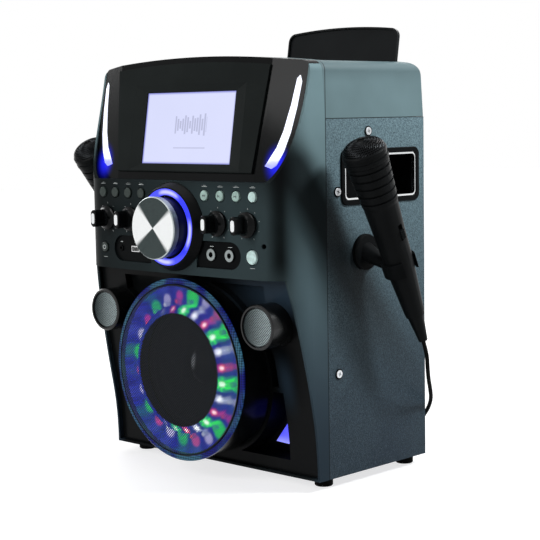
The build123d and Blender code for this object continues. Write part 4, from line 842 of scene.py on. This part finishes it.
# ---------------------------------------------------------------- shapes
def piece(name, mesh, finish, body="machine", smooth=35):
    """Object at the origin that rides on a body."""
    thing = bpy.data.objects.new(name, mesh)
    bpy.context.scene.collection.objects.link(thing)
    if finish:
        mesh.materials.clear()
        mesh.materials.append(finish_of(finish))
    if smooth:
        for face in mesh.polygons:
            face.use_smooth = True
        mesh.set_sharp_from_angle(angle=math.radians(smooth))
    if body:
        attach(thing, body)
    return thing


def mesh_from(name, build):
    """Mesh filled in by a function that is given a bmesh."""
    mesh = bpy.data.meshes.new(name)
    form = bmesh.new()
    build(form)
    bmesh.ops.remove_doubles(form, verts=form.verts, dist=1e-6)
    bmesh.ops.recalc_face_normals(form, faces=form.faces)
    form.to_mesh(mesh)
    form.free()
    return mesh


def turned(profile, steps=96, closed=True):
    """Builder of a form turned about Z from points of radius and height."""

    def build(form):
        loops = []
        for step in range(steps):
            angle = 2 * math.pi * step / steps
            loops.append([
                form.verts.new((r * math.cos(angle), r * math.sin(angle), h)) for r, h in profile
            ])
        count = len(profile)
        for step in range(steps):
            here, there = loops[step], loops[(step + 1) % steps]
            for row in range(count if closed else count - 1):
                follow = (row + 1) % count
                corners = [here[row], there[row], there[follow], here[follow]]
                if profile[row][0] < 1e-7:
                    corners.pop(1)
                elif profile[follow][0] < 1e-7:
                    corners.pop(2)
                form.faces.new(corners)

    return build


def flat_piece(name, build, finish, body="machine"):
    """Piece of flat faces that all look to the front."""
    mesh = mesh_from(name, build)
    for face in mesh.polygons:
        if face.normal.y > 0:
            face.flip()
    return piece(name, mesh, finish, body=body, smooth=0)


def frame_front(node):
    """Y of the foremost point of a CAD node."""
    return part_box(node)[0].y


def facing_front(x, y, z):
    """Matrix that turns +Z to the front (-Y) and moves it there."""
    return Matrix.Translation((x, y, z)) @ Matrix.Rotation(math.radians(90), 4, "X")


class Tree:
    """Geometry Nodes tree with named sizes."""

    def __init__(self, name, sizes):
        self.group = bpy.data.node_groups.new(name, "GeometryNodeTree")
        self.group.interface.new_socket(
            name="Geometry", in_out="OUTPUT", socket_type="NodeSocketGeometry"
        )
        self.inputs = {}
        for key, value in sizes.items():
            kind = "NodeSocketInt" if isinstance(value, int) else "NodeSocketFloat"
            socket = self.group.interface.new_socket(name=key, in_out="INPUT", socket_type=kind)
            self.inputs[socket.identifier] = value
        self.start = self.group.nodes.new("NodeGroupInput")
        self.end = self.group.nodes.new("NodeGroupOutput")

    def size(self, name):
        return self.start.outputs[name]

    def node(self, kind, settings=None, inputs=None):
        node = self.group.nodes.new(kind)
        for key, value in (settings or {}).items():
            setattr(node, key, value)
        for key, value in (inputs or {}).items():
            if isinstance(value, bpy.types.NodeSocket):
                self.group.links.new(value, node.inputs[key])
            else:
                node.inputs[key].default_value = value
        return node

    def sum(self, operation, *values):
        return self.node(
            "ShaderNodeMath", {"operation": operation}, dict(enumerate(values))
        ).outputs[0]

    def moved(self, geometry, place=(0, 0, 0), turn=(0, 0, 0)):
        return self.node(
            "GeometryNodeTransform", {}, {0: geometry, "Translation": place, "Rotation": turn}
        ).outputs[0]

    def finish(self, geometry, finish):
        """Ends the tree and returns the mesh that it grows."""
        real = self.node("GeometryNodeRealizeInstances", {}, {0: geometry}).outputs[0]
        last = self.node("GeometryNodeSetMaterial", {}, {"Geometry": real})
        last.inputs["Material"].default_value = finish_of(finish)
        self.group.links.new(last.outputs[0], self.end.inputs[0])
        carrier = bpy.data.objects.new("carrier", bpy.data.meshes.new("carrier"))
        bpy.context.scene.collection.objects.link(carrier)
        grow = carrier.modifiers.new("grow", "NODES")
        grow.node_group = self.group
        for identifier, value in self.inputs.items():
            grow[identifier] = value
        bpy.context.view_layer.update()
        grown = bpy.data.meshes.new_from_object(
            carrier.evaluated_get(bpy.context.evaluated_depsgraph_get())
        )
        carrier.modifiers.remove(grow)
        bpy.data.objects.remove(carrier)
        return grown


def lattice(name, radius, pitch, opening, finish):
    """Round perforated sheet with diamond holes, in the XY plane."""
    count = int(2 * radius / pitch * 0.7072 * 1.03) * 2
    tree = Tree(name, {"Radius": radius, "Pitch": pitch, "Opening": opening, "Count": count})
    span = tree.sum("MULTIPLY", tree.size("Pitch"), tree.size("Count"))
    dots = tree.sum("ADD", tree.size("Count"), 1)
    grid = tree.node(
        "GeometryNodeMeshGrid", {},
        {"Size X": span, "Size Y": span, "Vertices X": dots, "Vertices Y": dots},
    )
    turned_grid = tree.moved(grid.outputs[0], turn=(0, 0, math.pi / 4))
    spot = tree.node("GeometryNodeInputPosition").outputs[0]
    reach = tree.node("ShaderNodeVectorMath", {"operation": "LENGTH"}, {0: spot}).outputs["Value"]
    outside = tree.sum("GREATER_THAN", reach, tree.size("Radius"))
    disc = tree.node(
        "GeometryNodeDeleteGeometry", {"domain": "FACE"},
        {"Geometry": turned_grid, "Selection": outside},
    )
    raised = tree.node(
        "GeometryNodeExtrudeMesh", {"mode": "FACES"},
        {"Mesh": disc.outputs[0], "Offset Scale": 0.0, "Individual": True},
    )
    shrunk = tree.node(
        "GeometryNodeScaleElements", {"domain": "FACE"},
        {"Geometry": raised.outputs["Mesh"], "Selection": raised.outputs["Top"],
         "Scale": tree.size("Opening")},
    )
    open_sheet = tree.node(
        "GeometryNodeDeleteGeometry", {"domain": "FACE"},
        {"Geometry": shrunk.outputs[0], "Selection": raised.outputs["Top"]},
    )
    return tree.finish(open_sheet.outputs[0], finish)


def band(form, start, end, width, place):
    """Flat strip on a surface; place gives the point over which X and Z lie."""
    start, end = Vector(start), Vector(end)
    along = (end - start).normalized()
    across = Vector((-along.y, along.x)) * width / 2
    corners = [start - across, end - across, end + across, start + across]
    form.faces.new([form.verts.new(place(*corner)) for corner in corners])


def outline(form, corners, place):
    """Flat shape on a surface."""
    form.faces.new([form.verts.new(place(*corner)) for corner in corners])


def fan(form, x, z, count, width, place, reach):
    """Ticks round a control; reach gives a tick's two radii."""
    for step in range(count):
        angle = math.radians(TICK_SWEEP * step / (count - 1) - TICK_SWEEP / 2)
        dx, dz = math.sin(angle), math.cos(angle)
        near, far = reach(step)
        band(form, (x + dx * near, z + dz * near), (x + dx * far, z + dz * far), width, place)


# ---------------------------------------------------------------- operators
class KARAOKE_OT_stage(bpy.types.Operator):
    """Camera, floor, background and soft studio lamps"""

    bl_idname = "karaoke.stage"
    bl_label = "Stage"

    def execute(self, context):
        scene = context.scene
        yaw, pitch, roll = (math.radians(part) for part in CAMERA_TURN)
        forward = Vector((
            -math.sin(yaw) * math.cos(pitch), math.cos(yaw) * math.cos(pitch), -math.sin(pitch)
        ))
        level = Vector((math.cos(yaw), math.sin(yaw), 0))
        above = level.cross(forward)
        right = level * math.cos(roll) + above * math.sin(roll)
        up = above * math.cos(roll) - level * math.sin(roll)
        turn = Matrix((right, up, -forward)).transposed().to_4x4()
        turn.translation = CAMERA_PLACE
        eye = bpy.data.cameras.new("camera")
        eye.sensor_width = SENSOR
        eye.lens = FOCAL_PIXELS / PHOTO_PIXELS * SENSOR
        eye.clip_end = 50
        camera = bpy.data.objects.new("camera", eye)
        scene.collection.objects.link(camera)
        camera.matrix_world = turn
        scene.camera = camera

        ground = Finish("floor_white")
        rays = ground.node("ShaderNodeLightPath")
        seen = Figure(ground, rays.outputs["Is Camera Ray"]).most(
            Figure(ground, rays.outputs["Is Glossy Ray"])
        ).most(Figure(ground, rays.outputs["Is Transmission Ray"]))
        x, y, z = ground.axes()
        far = ((x * x + y * y) ** 0.5).between(0.45, 1.3)
        shown = ground.mix(far, (0.73, 0.73, 0.74), (1.0, 1.0, 1.0))
        ground.set(
            Base_Color=(0.38, 0.38, 0.38), Roughness=0.6, Specular_IOR_Level=0.1,
            Emission_Color=ground.mix(seen, (0, 0, 0), shown), Emission_Strength=1.0,
        )

        def sheet(form):
            for x, y in ((-6, -6), (6, -6), (6, 8), (-6, 8)):
                form.verts.new((x, y, 0))
            form.verts.ensure_lookup_table()
            form.faces.new(form.verts[:])

        mesh = mesh_from("floor", sheet)
        if mesh.polygons[0].normal.z < 0:
            mesh.flip_normals()
        piece("floor", mesh, "floor_white", body=None, smooth=0)

        world = bpy.data.worlds.new("studio")
        scene.world = world
        world.use_nodes = True
        tree = world.node_tree
        tree.nodes.clear()
        rays = tree.nodes.new("ShaderNodeLightPath").outputs
        seen = rays["Is Camera Ray"]
        for kind in ("Is Transmission Ray", "Is Glossy Ray"):
            either = tree.nodes.new("ShaderNodeMath")
            either.operation = "MAXIMUM"
            tree.links.new(seen, either.inputs[0])
            tree.links.new(rays[kind], either.inputs[1])
            seen = either.outputs[0]
        level = tree.nodes.new("ShaderNodeMapRange")
        level.inputs["To Min"].default_value = WORLD_FILL
        level.inputs["To Max"].default_value = 1.0
        tree.links.new(seen, level.inputs["Value"])
        sky = tree.nodes.new("ShaderNodeBackground")
        sky.inputs["Color"].default_value = (1, 1, 1, 1)
        tree.links.new(level.outputs[0], sky.inputs["Strength"])
        out = tree.nodes.new("ShaderNodeOutputWorld")
        tree.links.new(sky.outputs[0], out.inputs[0])

        for name, place, aim, size, power, tone in (
            ("key_right", (1.00, 0.62, 1.25), (0.17, 0, 0.32), (0.3, 0.3), 25, (0.96, 0.99, 1.0)),
            ("top_soft", (0.1, 0.1, 1.9), (0, 0, 0.3), (1.2, 1.2), 8, (1.0, 1.0, 1.0)),
            ("front_soft", (-0.3, -1.9, 1.1), (0, -0.1, 0.30), (0.8, 1.0), 24, (1.0, 1.0, 1.0)),
            ("left_soft", (-1.6, 0.5, 1.1), (0, 0, 0.3), (1.0, 1.0), 14, (1.0, 1.0, 1.0)),
            ("rear_soft", (-0.2, 1.8, 1.0), (0, 0, 0.3), (1.2, 1.0), 14, (1.0, 1.0, 1.0)),
        ):
            lamp = bpy.data.lights.new(name, "AREA")
            lamp.shape = "RECTANGLE"
            lamp.size, lamp.size_y = size
            lamp.energy = power
            lamp.color = tone
            shown = bpy.data.objects.new(name, lamp)
            scene.collection.objects.link(shown)
            shown.location = place
            shown.rotation_euler = (Vector(aim) - Vector(place)).to_track_quat("-Z", "Y").to_euler()

        scene.view_settings.view_transform = "Standard"
        return {"FINISHED"}


class KARAOKE_OT_lead(bpy.types.Operator):
    """Right microphone's lead, with its coil, down to the plug"""

    bl_idname = "karaoke.lead"
    bl_label = "Microphone lead"

    def execute(self, context):
        sizes = context.scene.karaoke_lead
        radius = sizes.diameter / 2
        route = [
            (0.2260, 0.0760, 0.1766), (0.2260, 0.0873, 0.1522), (0.2180, 0.0988, 0.1310),
            (0.2070, 0.1148, 0.1130), (0.1960, 0.1328, 0.0960), (0.1840, 0.1498, 0.0790),
            (0.1680, 0.1598, 0.0600), (0.1480, 0.1623, 0.0400), (0.1260, 0.1603, 0.0210),
            (0.1020, 0.1608, 0.0085), (0.0780, 0.1583, 0.0040), (0.0580, 0.1588, 0.0026),
            (0.0450, 0.1588, 0.0026),
        ]
        points = [Vector(place) for place in route]
        layers, half_turns, inner = COIL_LAYERS, COIL_HALF_TURNS, COIL_INNER
        pitch, rise = sizes.diameter + 0.0008, sizes.diameter + 0.0006
        here = points[-1] + Vector((-sizes.diameter, 0, 0))
        heading = -1
        steps = sizes.turn_points // 2
        for half in range(layers * half_turns):
            reach = inner + abs(half_turns - half % (2 * half_turns)) * pitch / 2
            climb = rise if half > 0 and half % half_turns == 0 else 0
            middle = here + Vector((0, -heading * reach, 0))
            # control points stand a little outside the turn that they pull the line round
            out = reach / math.cos(math.pi / steps / 2)
            for step in range(steps):
                angle = math.pi * (step + 0.5) / steps
                points.append(middle + Vector((
                    heading * out * math.sin(angle),
                    heading * out * math.cos(angle),
                    climb * (step + 0.5) / steps,
                )))
            here = here + Vector((0, -heading * 2 * reach, climb))
            heading = -heading
        for share, drop in (
            (0.04, 0.0), (0.25, 0.06), (0.5, 0.5), (0.75, 0.94), (0.95, 1.0), (1.0, 1.0),
        ):
            points.append(Vector((
                here.x + heading * LEAD_RUN_OUT * share, here.y, here.z + (LEAD_REST - here.z) * drop
            )))
        line = bpy.data.curves.new("microphone_lead", "CURVE")
        line.dimensions = "3D"
        strand = line.splines.new("NURBS")
        strand.points.add(len(points) - 1)
        for dot, place in zip(strand.points, points):
            dot.co = (*place, 1)
        strand.order_u = 3
        strand.use_endpoint_u = True
        strand.resolution_u = 4
        line.bevel_depth = radius
        line.bevel_resolution = 3
        line.use_fill_caps = True
        line.materials.append(finish_of("rubber_black"))
        lead = bpy.data.objects.new("microphone_lead", line)
        context.scene.collection.objects.link(lead)
        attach(lead, "machine")
        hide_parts("mic_cord", "mic_cord_coil")
        return {"FINISHED"}


class KARAOKE_OT_body(bpy.types.Operator):
    """Finishes of the box, its mouldings and fittings"""

    bl_idname = "karaoke.body"
    bl_label = "Body"

    def execute(self, context):
        dress_all({
            "vinyl_board": "cabinet",
            "back_board": "back_panel",
            "satin_plastic": "front_housing",
            "top_cover_satin": "top_cover",
            "black_plastic": "rear_connectors handle_cup_left handle_cup_right disc_deck "
                             "disc_spindle laser_sled jack_insets microphone_clips "
                             "switch_right switch_left",
            "drum_black": "speaker_drum",
            "pod_black": "tweeter_pods",
            "lid_black": "disc_lid",
            "frame_black": "head_frame",
            "bezel_black": "screen_bezel",
            "surround_black": "speaker_surround",
            "rubber_black": "feet mic_plug",
            "chrome": "handle_trims",
            "steel": "sled_rods lid_hinge_pins control_pots",
            "microphone_black": "microphone_bodies",
        })
        return {"FINISHED"}


class KARAOKE_OT_lights(bpy.types.Operator):
    """Lit screen, guides, rings and lamps"""

    bl_idname = "karaoke.lights"
    bl_label = "Lamps and screen"

    def execute(self, context):
        dress_all({
            "screen_lit": "lcd_panel",
            "light_guide_lit": "light_guides",
            "dial_ring_lit": "dial_light_ring",
            "foot_lamp_lit": "foot_lamps",
            "lamp_ring_lit": "lamp_ring",
            "lamp_cap_lit": "speaker_lamps",
        })
        return {"FINISHED"}


class KARAOKE_OT_controls(bpy.types.Operator):
    """Finishes of the dial, knobs, buttons and sockets"""

    bl_idname = "karaoke.controls"
    bl_label = "Controls"

    def execute(self, context):
        dress_all({
            "spun_aluminium": "volume_dial",
            "dial_collar_black": "dial_collar",
            "knob_black": "knob_microphone knob_music knob_treble knob_echo",
            "dark_button": "button_light button_source button_program button_repeat button_power",
            "pale_button": "button_previous button_play button_next",
            "white_button": "button_stop button_record",
            "jack_steel": "microphone_jacks",
            "black_plastic": "line_jack",
            "usb_metal": "usb_port",
        })
        return {"FINISHED"}


class KARAOKE_OT_speaker(bpy.types.Operator):
    """Perforated grilles, woofer and cone"""

    bl_idname = "karaoke.speaker"
    bl_label = "Speakers"

    def sheet(self, name, node, radius, pitch, rim, x, y, z, finish, rim_finish, slot):
        sizes = bpy.context.scene.karaoke_grilles
        mesh = lattice(name + "_tree", radius - rim * 0.6, pitch, sizes.opening, finish)
        mesh.transform(facing_front(x, y + sizes.sheet, z))
        mesh.update()
        grille = piece(name, mesh, finish, smooth=0)
        wall = grille.modifiers.new("sheet", "SOLIDIFY")
        wall.thickness = sizes.sheet
        wall.offset = 0
        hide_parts(node)
        # rolled rim
        profile = [
            (radius - rim, 0.0011), (radius - rim * 0.6, 0.0002), (radius - rim * 0.2, 0.0),
            (radius, 0.0006), (radius, 0.0056), (radius - rim, 0.0056),
        ]
        ring = mesh_from(name + "_rim", turned([(r, -h) for r, h in profile], 128))
        ring.transform(facing_front(x, y, z))
        piece(name + "_rim", ring, rim_finish)

    def execute(self, context):
        sizes = context.scene.karaoke_grilles
        dress("woofer_frame", "basket_steel")
        dress("woofer_cone", "cone_paper")
        self.sheet("speaker_mesh", "speaker_grille", GRILLE_RADIUS, sizes.speaker_pitch, 0.003,
                   0, SPEAKER_FRONT, SPEAKER_HEIGHT, "grille_steel", "rim_black", "mesh_steel")
        front = SPEAKER_FRONT + 0.0012
        for name, finish, slot, profile in (
            ("lamp_cone", "lamp_ring_lit", "lamp_blue",
             [(0.0690, 0.0), (0.0774, 0.0048), (0.0770, 0.0052), (0.0688, 0.0006)]),
            ("lamp_cone_liner", "basket_steel", "basket_steel",
             [(0.0682, 0.0), (0.0689, 0.0), (0.0768, 0.0052), (0.0763, 0.0056), (0.0683, 0.0008)]),
        ):
            cone = mesh_from(name, turned([(r, -h) for r, h in profile], 144))
            cone.transform(facing_front(0, front, SPEAKER_HEIGHT))
            piece(name, cone, finish)
        for name, x in (("left", POD_PLACES[0]), ("right", POD_PLACES[1])):
            self.sheet("tweeter_mesh_" + name, "tweeter_grilles", POD_MESH_RADIUS,
                       sizes.tweeter_pitch, 0.0016, x, POD_FRONT + 0.0008, POD_HEIGHT,
                       "tweeter_steel", "rim_black", "mesh_steel")
        return {"FINISHED"}


class KARAOKE_OT_screws(bpy.types.Operator):
    """Cross-head screws in their cups on both sides"""

    bl_idname = "karaoke.screws"
    bl_label = "Screws"

    def execute(self, context):
        spots = [
            (side * HALF_WIDTH, y, z) for side in (-1, 1) for y, z in SIDE_SCREWS
        ]
        for part, finish in (("cups", "black_plastic"), ("heads", "steel")):
            tree = Tree("screw_" + part, {"Head": 0.0052, "Cup": 0.0060, "Proud": 0.0013})
            if part == "cups":
                outer = tree.node(
                    "GeometryNodeMeshCylinder", {},
                    {"Vertices": 32, "Radius": tree.size("Cup"), "Depth": 0.0012},
                )
                form = tree.moved(outer.outputs[0], (0, 0, 0.0006))
            else:
                head = tree.node(
                    "GeometryNodeMeshCone", {},
                    {"Vertices": 32, "Radius Top": 0.0044, "Radius Bottom": tree.size("Head"),
                     "Depth": tree.size("Proud")},
                )
                cut = tree.node(
                    "GeometryNodeMeshBoolean", {"operation": "DIFFERENCE"},
                    {0: tree.moved(head.outputs[0], (0, 0, 0.0005))},
                )
                for size in ((0.0052, 0.0010, 0.002), (0.0010, 0.0052, 0.002)):
                    cube = tree.node("GeometryNodeMeshCube", {}, {"Size": size})
                    tree.group.links.new(tree.moved(cube.outputs[0], (0, 0, 0.0022)), cut.inputs[1])
                form = cut.outputs[0]
            copies = tree.node("GeometryNodeJoinGeometry")
            for side_x, y, z in spots:
                turn = math.copysign(math.pi / 2, side_x)
                spun = tree.moved(form, turn=(0, 0, 0.3 + 7 * z))
                placed = tree.moved(spun, (side_x, y, z), (0, turn, 0))
                tree.group.links.new(placed, copies.inputs[0])
            piece(
                "screw_" + part, tree.finish(copies.outputs[0], finish), finish
            )
        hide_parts("cabinet_screws")
        return {"FINISHED"}


class KARAOKE_OT_marks(bpy.types.Operator):
    """Plain ticks, dots and symbols round the controls"""

    bl_idname = "karaoke.marks"
    bl_label = "Marks"

    def execute(self, context):
        sizes = context.scene.karaoke_marks
        width, proud = sizes.line, sizes.proud

        def on_panel(x, z):
            return (x, panel_face(x) - proud, z)

        def on_collar(x, z):
            return (x, RING_FRONT + 0.008 - proud, z)

        def on_inset(x, z):
            return (x, panel_face(x) + 0.0025 - proud, z)

        def build(form):
            for x in BUTTON_PLACES:
                for side in (-1, 1):
                    for half, rise, share in ((0.0042, 0.0105, 1), (0.0022, 0.0118, 0.6)):
                        z = BUTTON_HEIGHT + rise
                        band(form, (side * x - half, z), (side * x + half, z), width * share,
                             on_panel)
            for x in KNOB_PLACES:
                fan(form, x, KNOB_HEIGHT, sizes.knob_ticks, width, on_panel,
                    lambda step: (0.0174, 0.0184 if step % 4 else 0.0192))
            fan(form, 0, DIAL_HEIGHT, sizes.dial_ticks, width * 1.4, on_collar,
                lambda step: (0.0358 if step % 5 else 0.0355, 0.0376))
            for places, half, rise, place in (
                ((0.0632, 0.0924), 0.003, 0.0098, on_inset),
                ((-0.0992, -0.071), 0.0025, 0.0075, on_inset),
                ((-0.1295, 0.1285), 0.0035, -0.0125, on_panel),
            ):
                for x in places:
                    band(form, (x - half, LOW_ROW + rise), (x + half, LOW_ROW + rise), width, place)

        flat_piece("panel_marks", build, "print_white")

        def triangle(x, z, size, way):
            back, tip = x - way * size * 0.5, x + way * size * 0.5
            return [(back, z - size * 0.55), (tip, z), (back, z + size * 0.55)]

        shapes = {
            "button_previous": [triangle(x, BUTTON_HEIGHT, 0.0026, -1) for x in (0.0543, 0.0567)],
            "button_play": [triangle(0.0798, BUTTON_HEIGHT, 0.0032, 1),
                            [(0.0820, BUTTON_HEIGHT - 0.0017), (0.0826, BUTTON_HEIGHT - 0.0017),
                             (0.0826, BUTTON_HEIGHT + 0.0017), (0.0820, BUTTON_HEIGHT + 0.0017)]],
            "button_next": [triangle(x, BUTTON_HEIGHT, 0.0026, 1) for x in (0.1046, 0.1070)],
        }
        for body, corners in shapes.items():
            face_y = frame_front(body) - proud

            def build_symbol(form, corners=corners, face_y=face_y):
                for shape in corners:
                    outline(form, shape, lambda x, z: (x, face_y, z))

            flat_piece(body + "_mark", build_symbol, "print_grey", body)

        face_y = frame_front("button_power") - proud

        def power(form):
            middle_x, middle_z = -0.1295, LOW_ROW
            for step in range(20):
                a, b = (math.radians(35 + 290 * (step + k) / 20) for k in (0, 1))
                ring = [(middle_x + r * math.sin(t), middle_z + r * math.cos(t))
                        for r, t in ((0.0022, a), (0.0022, b), (0.0030, b), (0.0030, a))]
                outline(form, ring, lambda x, z: (x, face_y, z))
            band(form, (middle_x, middle_z + 0.0008), (middle_x, middle_z + 0.0034), 0.0008,
                 lambda x, z: (x, face_y, z))

        flat_piece("power_mark", power, "print_white", "button_power")
        for knob, x in zip(("microphone", "music", "treble", "echo"), KNOB_PLACES):
            body = "knob_" + knob
            front = frame_front(body)

            def tip(form, x=x, front=front):
                # bright bar let into the front of the grip, with chamfered ends
                half_w, half_h, edge = 0.0036, 0.0072, 0.0010
                rings = []
                for inset, depth in ((0.0, 0.0), (edge * 0.7, -0.00012)):
                    corners = []
                    for step in range(16):
                        angle = 2 * math.pi * step / 16
                        cx = math.cos(angle) * (half_w - inset)
                        cz = math.sin(angle) * (half_w - inset)
                        if abs(math.sin(angle)) > 1e-6:
                            cz += math.copysign(half_h - half_w, math.sin(angle))
                        corners.append(form.verts.new((x + cx, front + depth + 0.0001, KNOB_HEIGHT + cz)))
                    rings.append(corners)
                for step in range(16):
                    follow = (step + 1) % 16
                    form.faces.new((rings[0][step], rings[0][follow], rings[1][follow], rings[1][step]))
                form.faces.new(rings[1])

            flat_piece(body + "_bar", tip, "chrome", body)
        return {"FINISHED"}


class KARAOKE_OT_microphones(bpy.types.Operator):
    """Wire mesh heads with foam inside and a grooved band"""

    bl_idname = "karaoke.microphones"
    bl_label = "Microphone heads"

    def wires(self, name, sizes):
        """Dome of crossing wires."""
        tree = Tree(name, {
            "Wires": sizes.mic_wires, "Rows": 9, "Wire": sizes.mic_wire,
            "Radius": 0.0243, "Rise": 0.0122,
        })
        grid = tree.node(
            "GeometryNodeMeshGrid", {},
            {"Size X": 1.0, "Size Y": 1.0,
             "Vertices X": tree.sum("ADD", tree.size("Wires"), 1), "Vertices Y": tree.size("Rows")},
        )
        spot = tree.node("GeometryNodeInputPosition").outputs[0]
        parts = tree.node("ShaderNodeSeparateXYZ", {}, {0: spot})
        along = tree.sum("ADD", parts.outputs[1], 0.5)
        skew = tree.sum("MULTIPLY", along, 0.9)
        turn = tree.sum("ADD", tree.sum("MULTIPLY", parts.outputs[0], 2 * math.pi), skew)
        lift = tree.sum("MULTIPLY", along, 1.35)
        reach = tree.sum("MULTIPLY", tree.size("Radius"), tree.sum("COSINE", lift))
        height = tree.sum("MULTIPLY", tree.size("Rise"), tree.sum("SINE", lift))
        place = tree.node("ShaderNodeCombineXYZ", {}, {
            0: tree.sum("MULTIPLY", reach, tree.sum("COSINE", turn)),
            1: tree.sum("MULTIPLY", reach, tree.sum("SINE", turn)),
            2: height,
        })
        dome = tree.node(
            "GeometryNodeSetPosition", {},
            {"Geometry": grid.outputs[0], "Position": place.outputs[0]},
        )
        lines = tree.node("GeometryNodeMeshToCurve", {}, {0: dome.outputs[0]})
        section = tree.node(
            "GeometryNodeCurvePrimitiveCircle", {}, {"Resolution": 4, "Radius": tree.size("Wire")}
        )
        tube = tree.node(
            "GeometryNodeCurveToMesh", {},
            {"Curve": lines.outputs[0], "Profile Curve": section.outputs[0]},
        )
        return tree.finish(tube.outputs[0], "wire_black")

    def execute(self, context):
        sizes = context.scene.karaoke_grilles
        for side, name in ((1, "right"), (-1, "left")):
            place = microphone_frame(side)
            foam = []
            for step in range(13):
                angle = math.pi / 2 * step / 12
                foam.append((0.0236 * math.cos(angle), MIC_RIM - 0.0008 + 0.0114 * math.sin(angle)))
            foam[-1] = (0.0, foam[-1][1])
            foam = [(0.0, MIC_RIM - 0.015), (0.0236, MIC_RIM - 0.015), *foam]
            body = mesh_from("foam_" + name, turned(foam, 48, closed=False))
            body.transform(place)
            piece("microphone_foam_" + name, body, "foam_black")
            band_low = MIC_RIM - 0.016
            ring = [
                (0.0238, band_low + 0.0002), (0.0253, band_low + 0.0002), (0.0260, band_low + 0.0025),
                (0.0260, band_low + 0.0058), (0.0249, band_low + 0.0062), (0.0249, band_low + 0.0098),
                (0.0260, band_low + 0.0102), (0.0260, MIC_RIM - 0.002), (0.0250, MIC_RIM - 0.0006),
                (0.0240, MIC_RIM), (0.0238, MIC_RIM - 0.002),
            ]
            collar = mesh_from("head_band_" + name, turned(ring, 72))
            collar.transform(place)
            band_piece = piece("microphone_band_" + name, collar, "microphone_black")
            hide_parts("microphone_heads")
            mesh = self.wires("head_wires_" + name, sizes)
            mesh.transform(place @ Matrix.Translation((0, 0, MIC_RIM - 0.0006)))
            mesh.update()
            piece("microphone_wires_" + name, mesh, "wire_black")
        return {"FINISHED"}


class KARAOKE_PT_panel(bpy.types.Panel):
    """Lists the pieces of the machine's dressing"""

    bl_idname = "KARAOKE_PT_panel"
    bl_label = "Karaoke machine"
    bl_space_type = "VIEW_3D"
    bl_region_type = "UI"
    bl_category = "Karaoke"

    def draw(self, context):
        column = self.layout.column(align=True)
        for operator in OPERATORS:
            column.operator(operator.bl_idname)
        for name in GROUPS:
            sizes = getattr(context.scene, name)
            box = self.layout.box()
            for key in sizes.__annotations__:
                box.prop(sizes, key)


GROUPS = {
    "karaoke_grilles": GrilleSizes,
    "karaoke_marks": MarkSizes,
    "karaoke_lead": LeadSizes,
    "karaoke_tones": BodyColours,
    "karaoke_lamps": LampColours,
}
OPERATORS = (
    KARAOKE_OT_stage,
    KARAOKE_OT_lead,
    KARAOKE_OT_body,
    KARAOKE_OT_lights,
    KARAOKE_OT_controls,
    KARAOKE_OT_speaker,
    KARAOKE_OT_screws,
    KARAOKE_OT_marks,
    KARAOKE_OT_microphones,
)
CLASSES = (*GROUPS.values(), *OPERATORS, KARAOKE_PT_panel)


def register():
    for item in CLASSES:
        bpy.utils.register_class(item)
    for name, group in GROUPS.items():
        setattr(bpy.types.Scene, name, PointerProperty(type=group))


def unregister():
    for name in GROUPS:
        delattr(bpy.types.Scene, name)
    for item in reversed(CLASSES):
        bpy.utils.unregister_class(item)


def main():
    register()
    make_all_finishes()
    bpy.ops.karaoke.stage()
    bpy.ops.karaoke.lead()
    bpy.ops.karaoke.body()
    bpy.ops.karaoke.lights()
    bpy.ops.karaoke.controls()
    bpy.ops.karaoke.speaker()
    bpy.ops.karaoke.screws()
    bpy.ops.karaoke.marks()
    bpy.ops.karaoke.microphones()


if __name__ == "__main__":
    main()
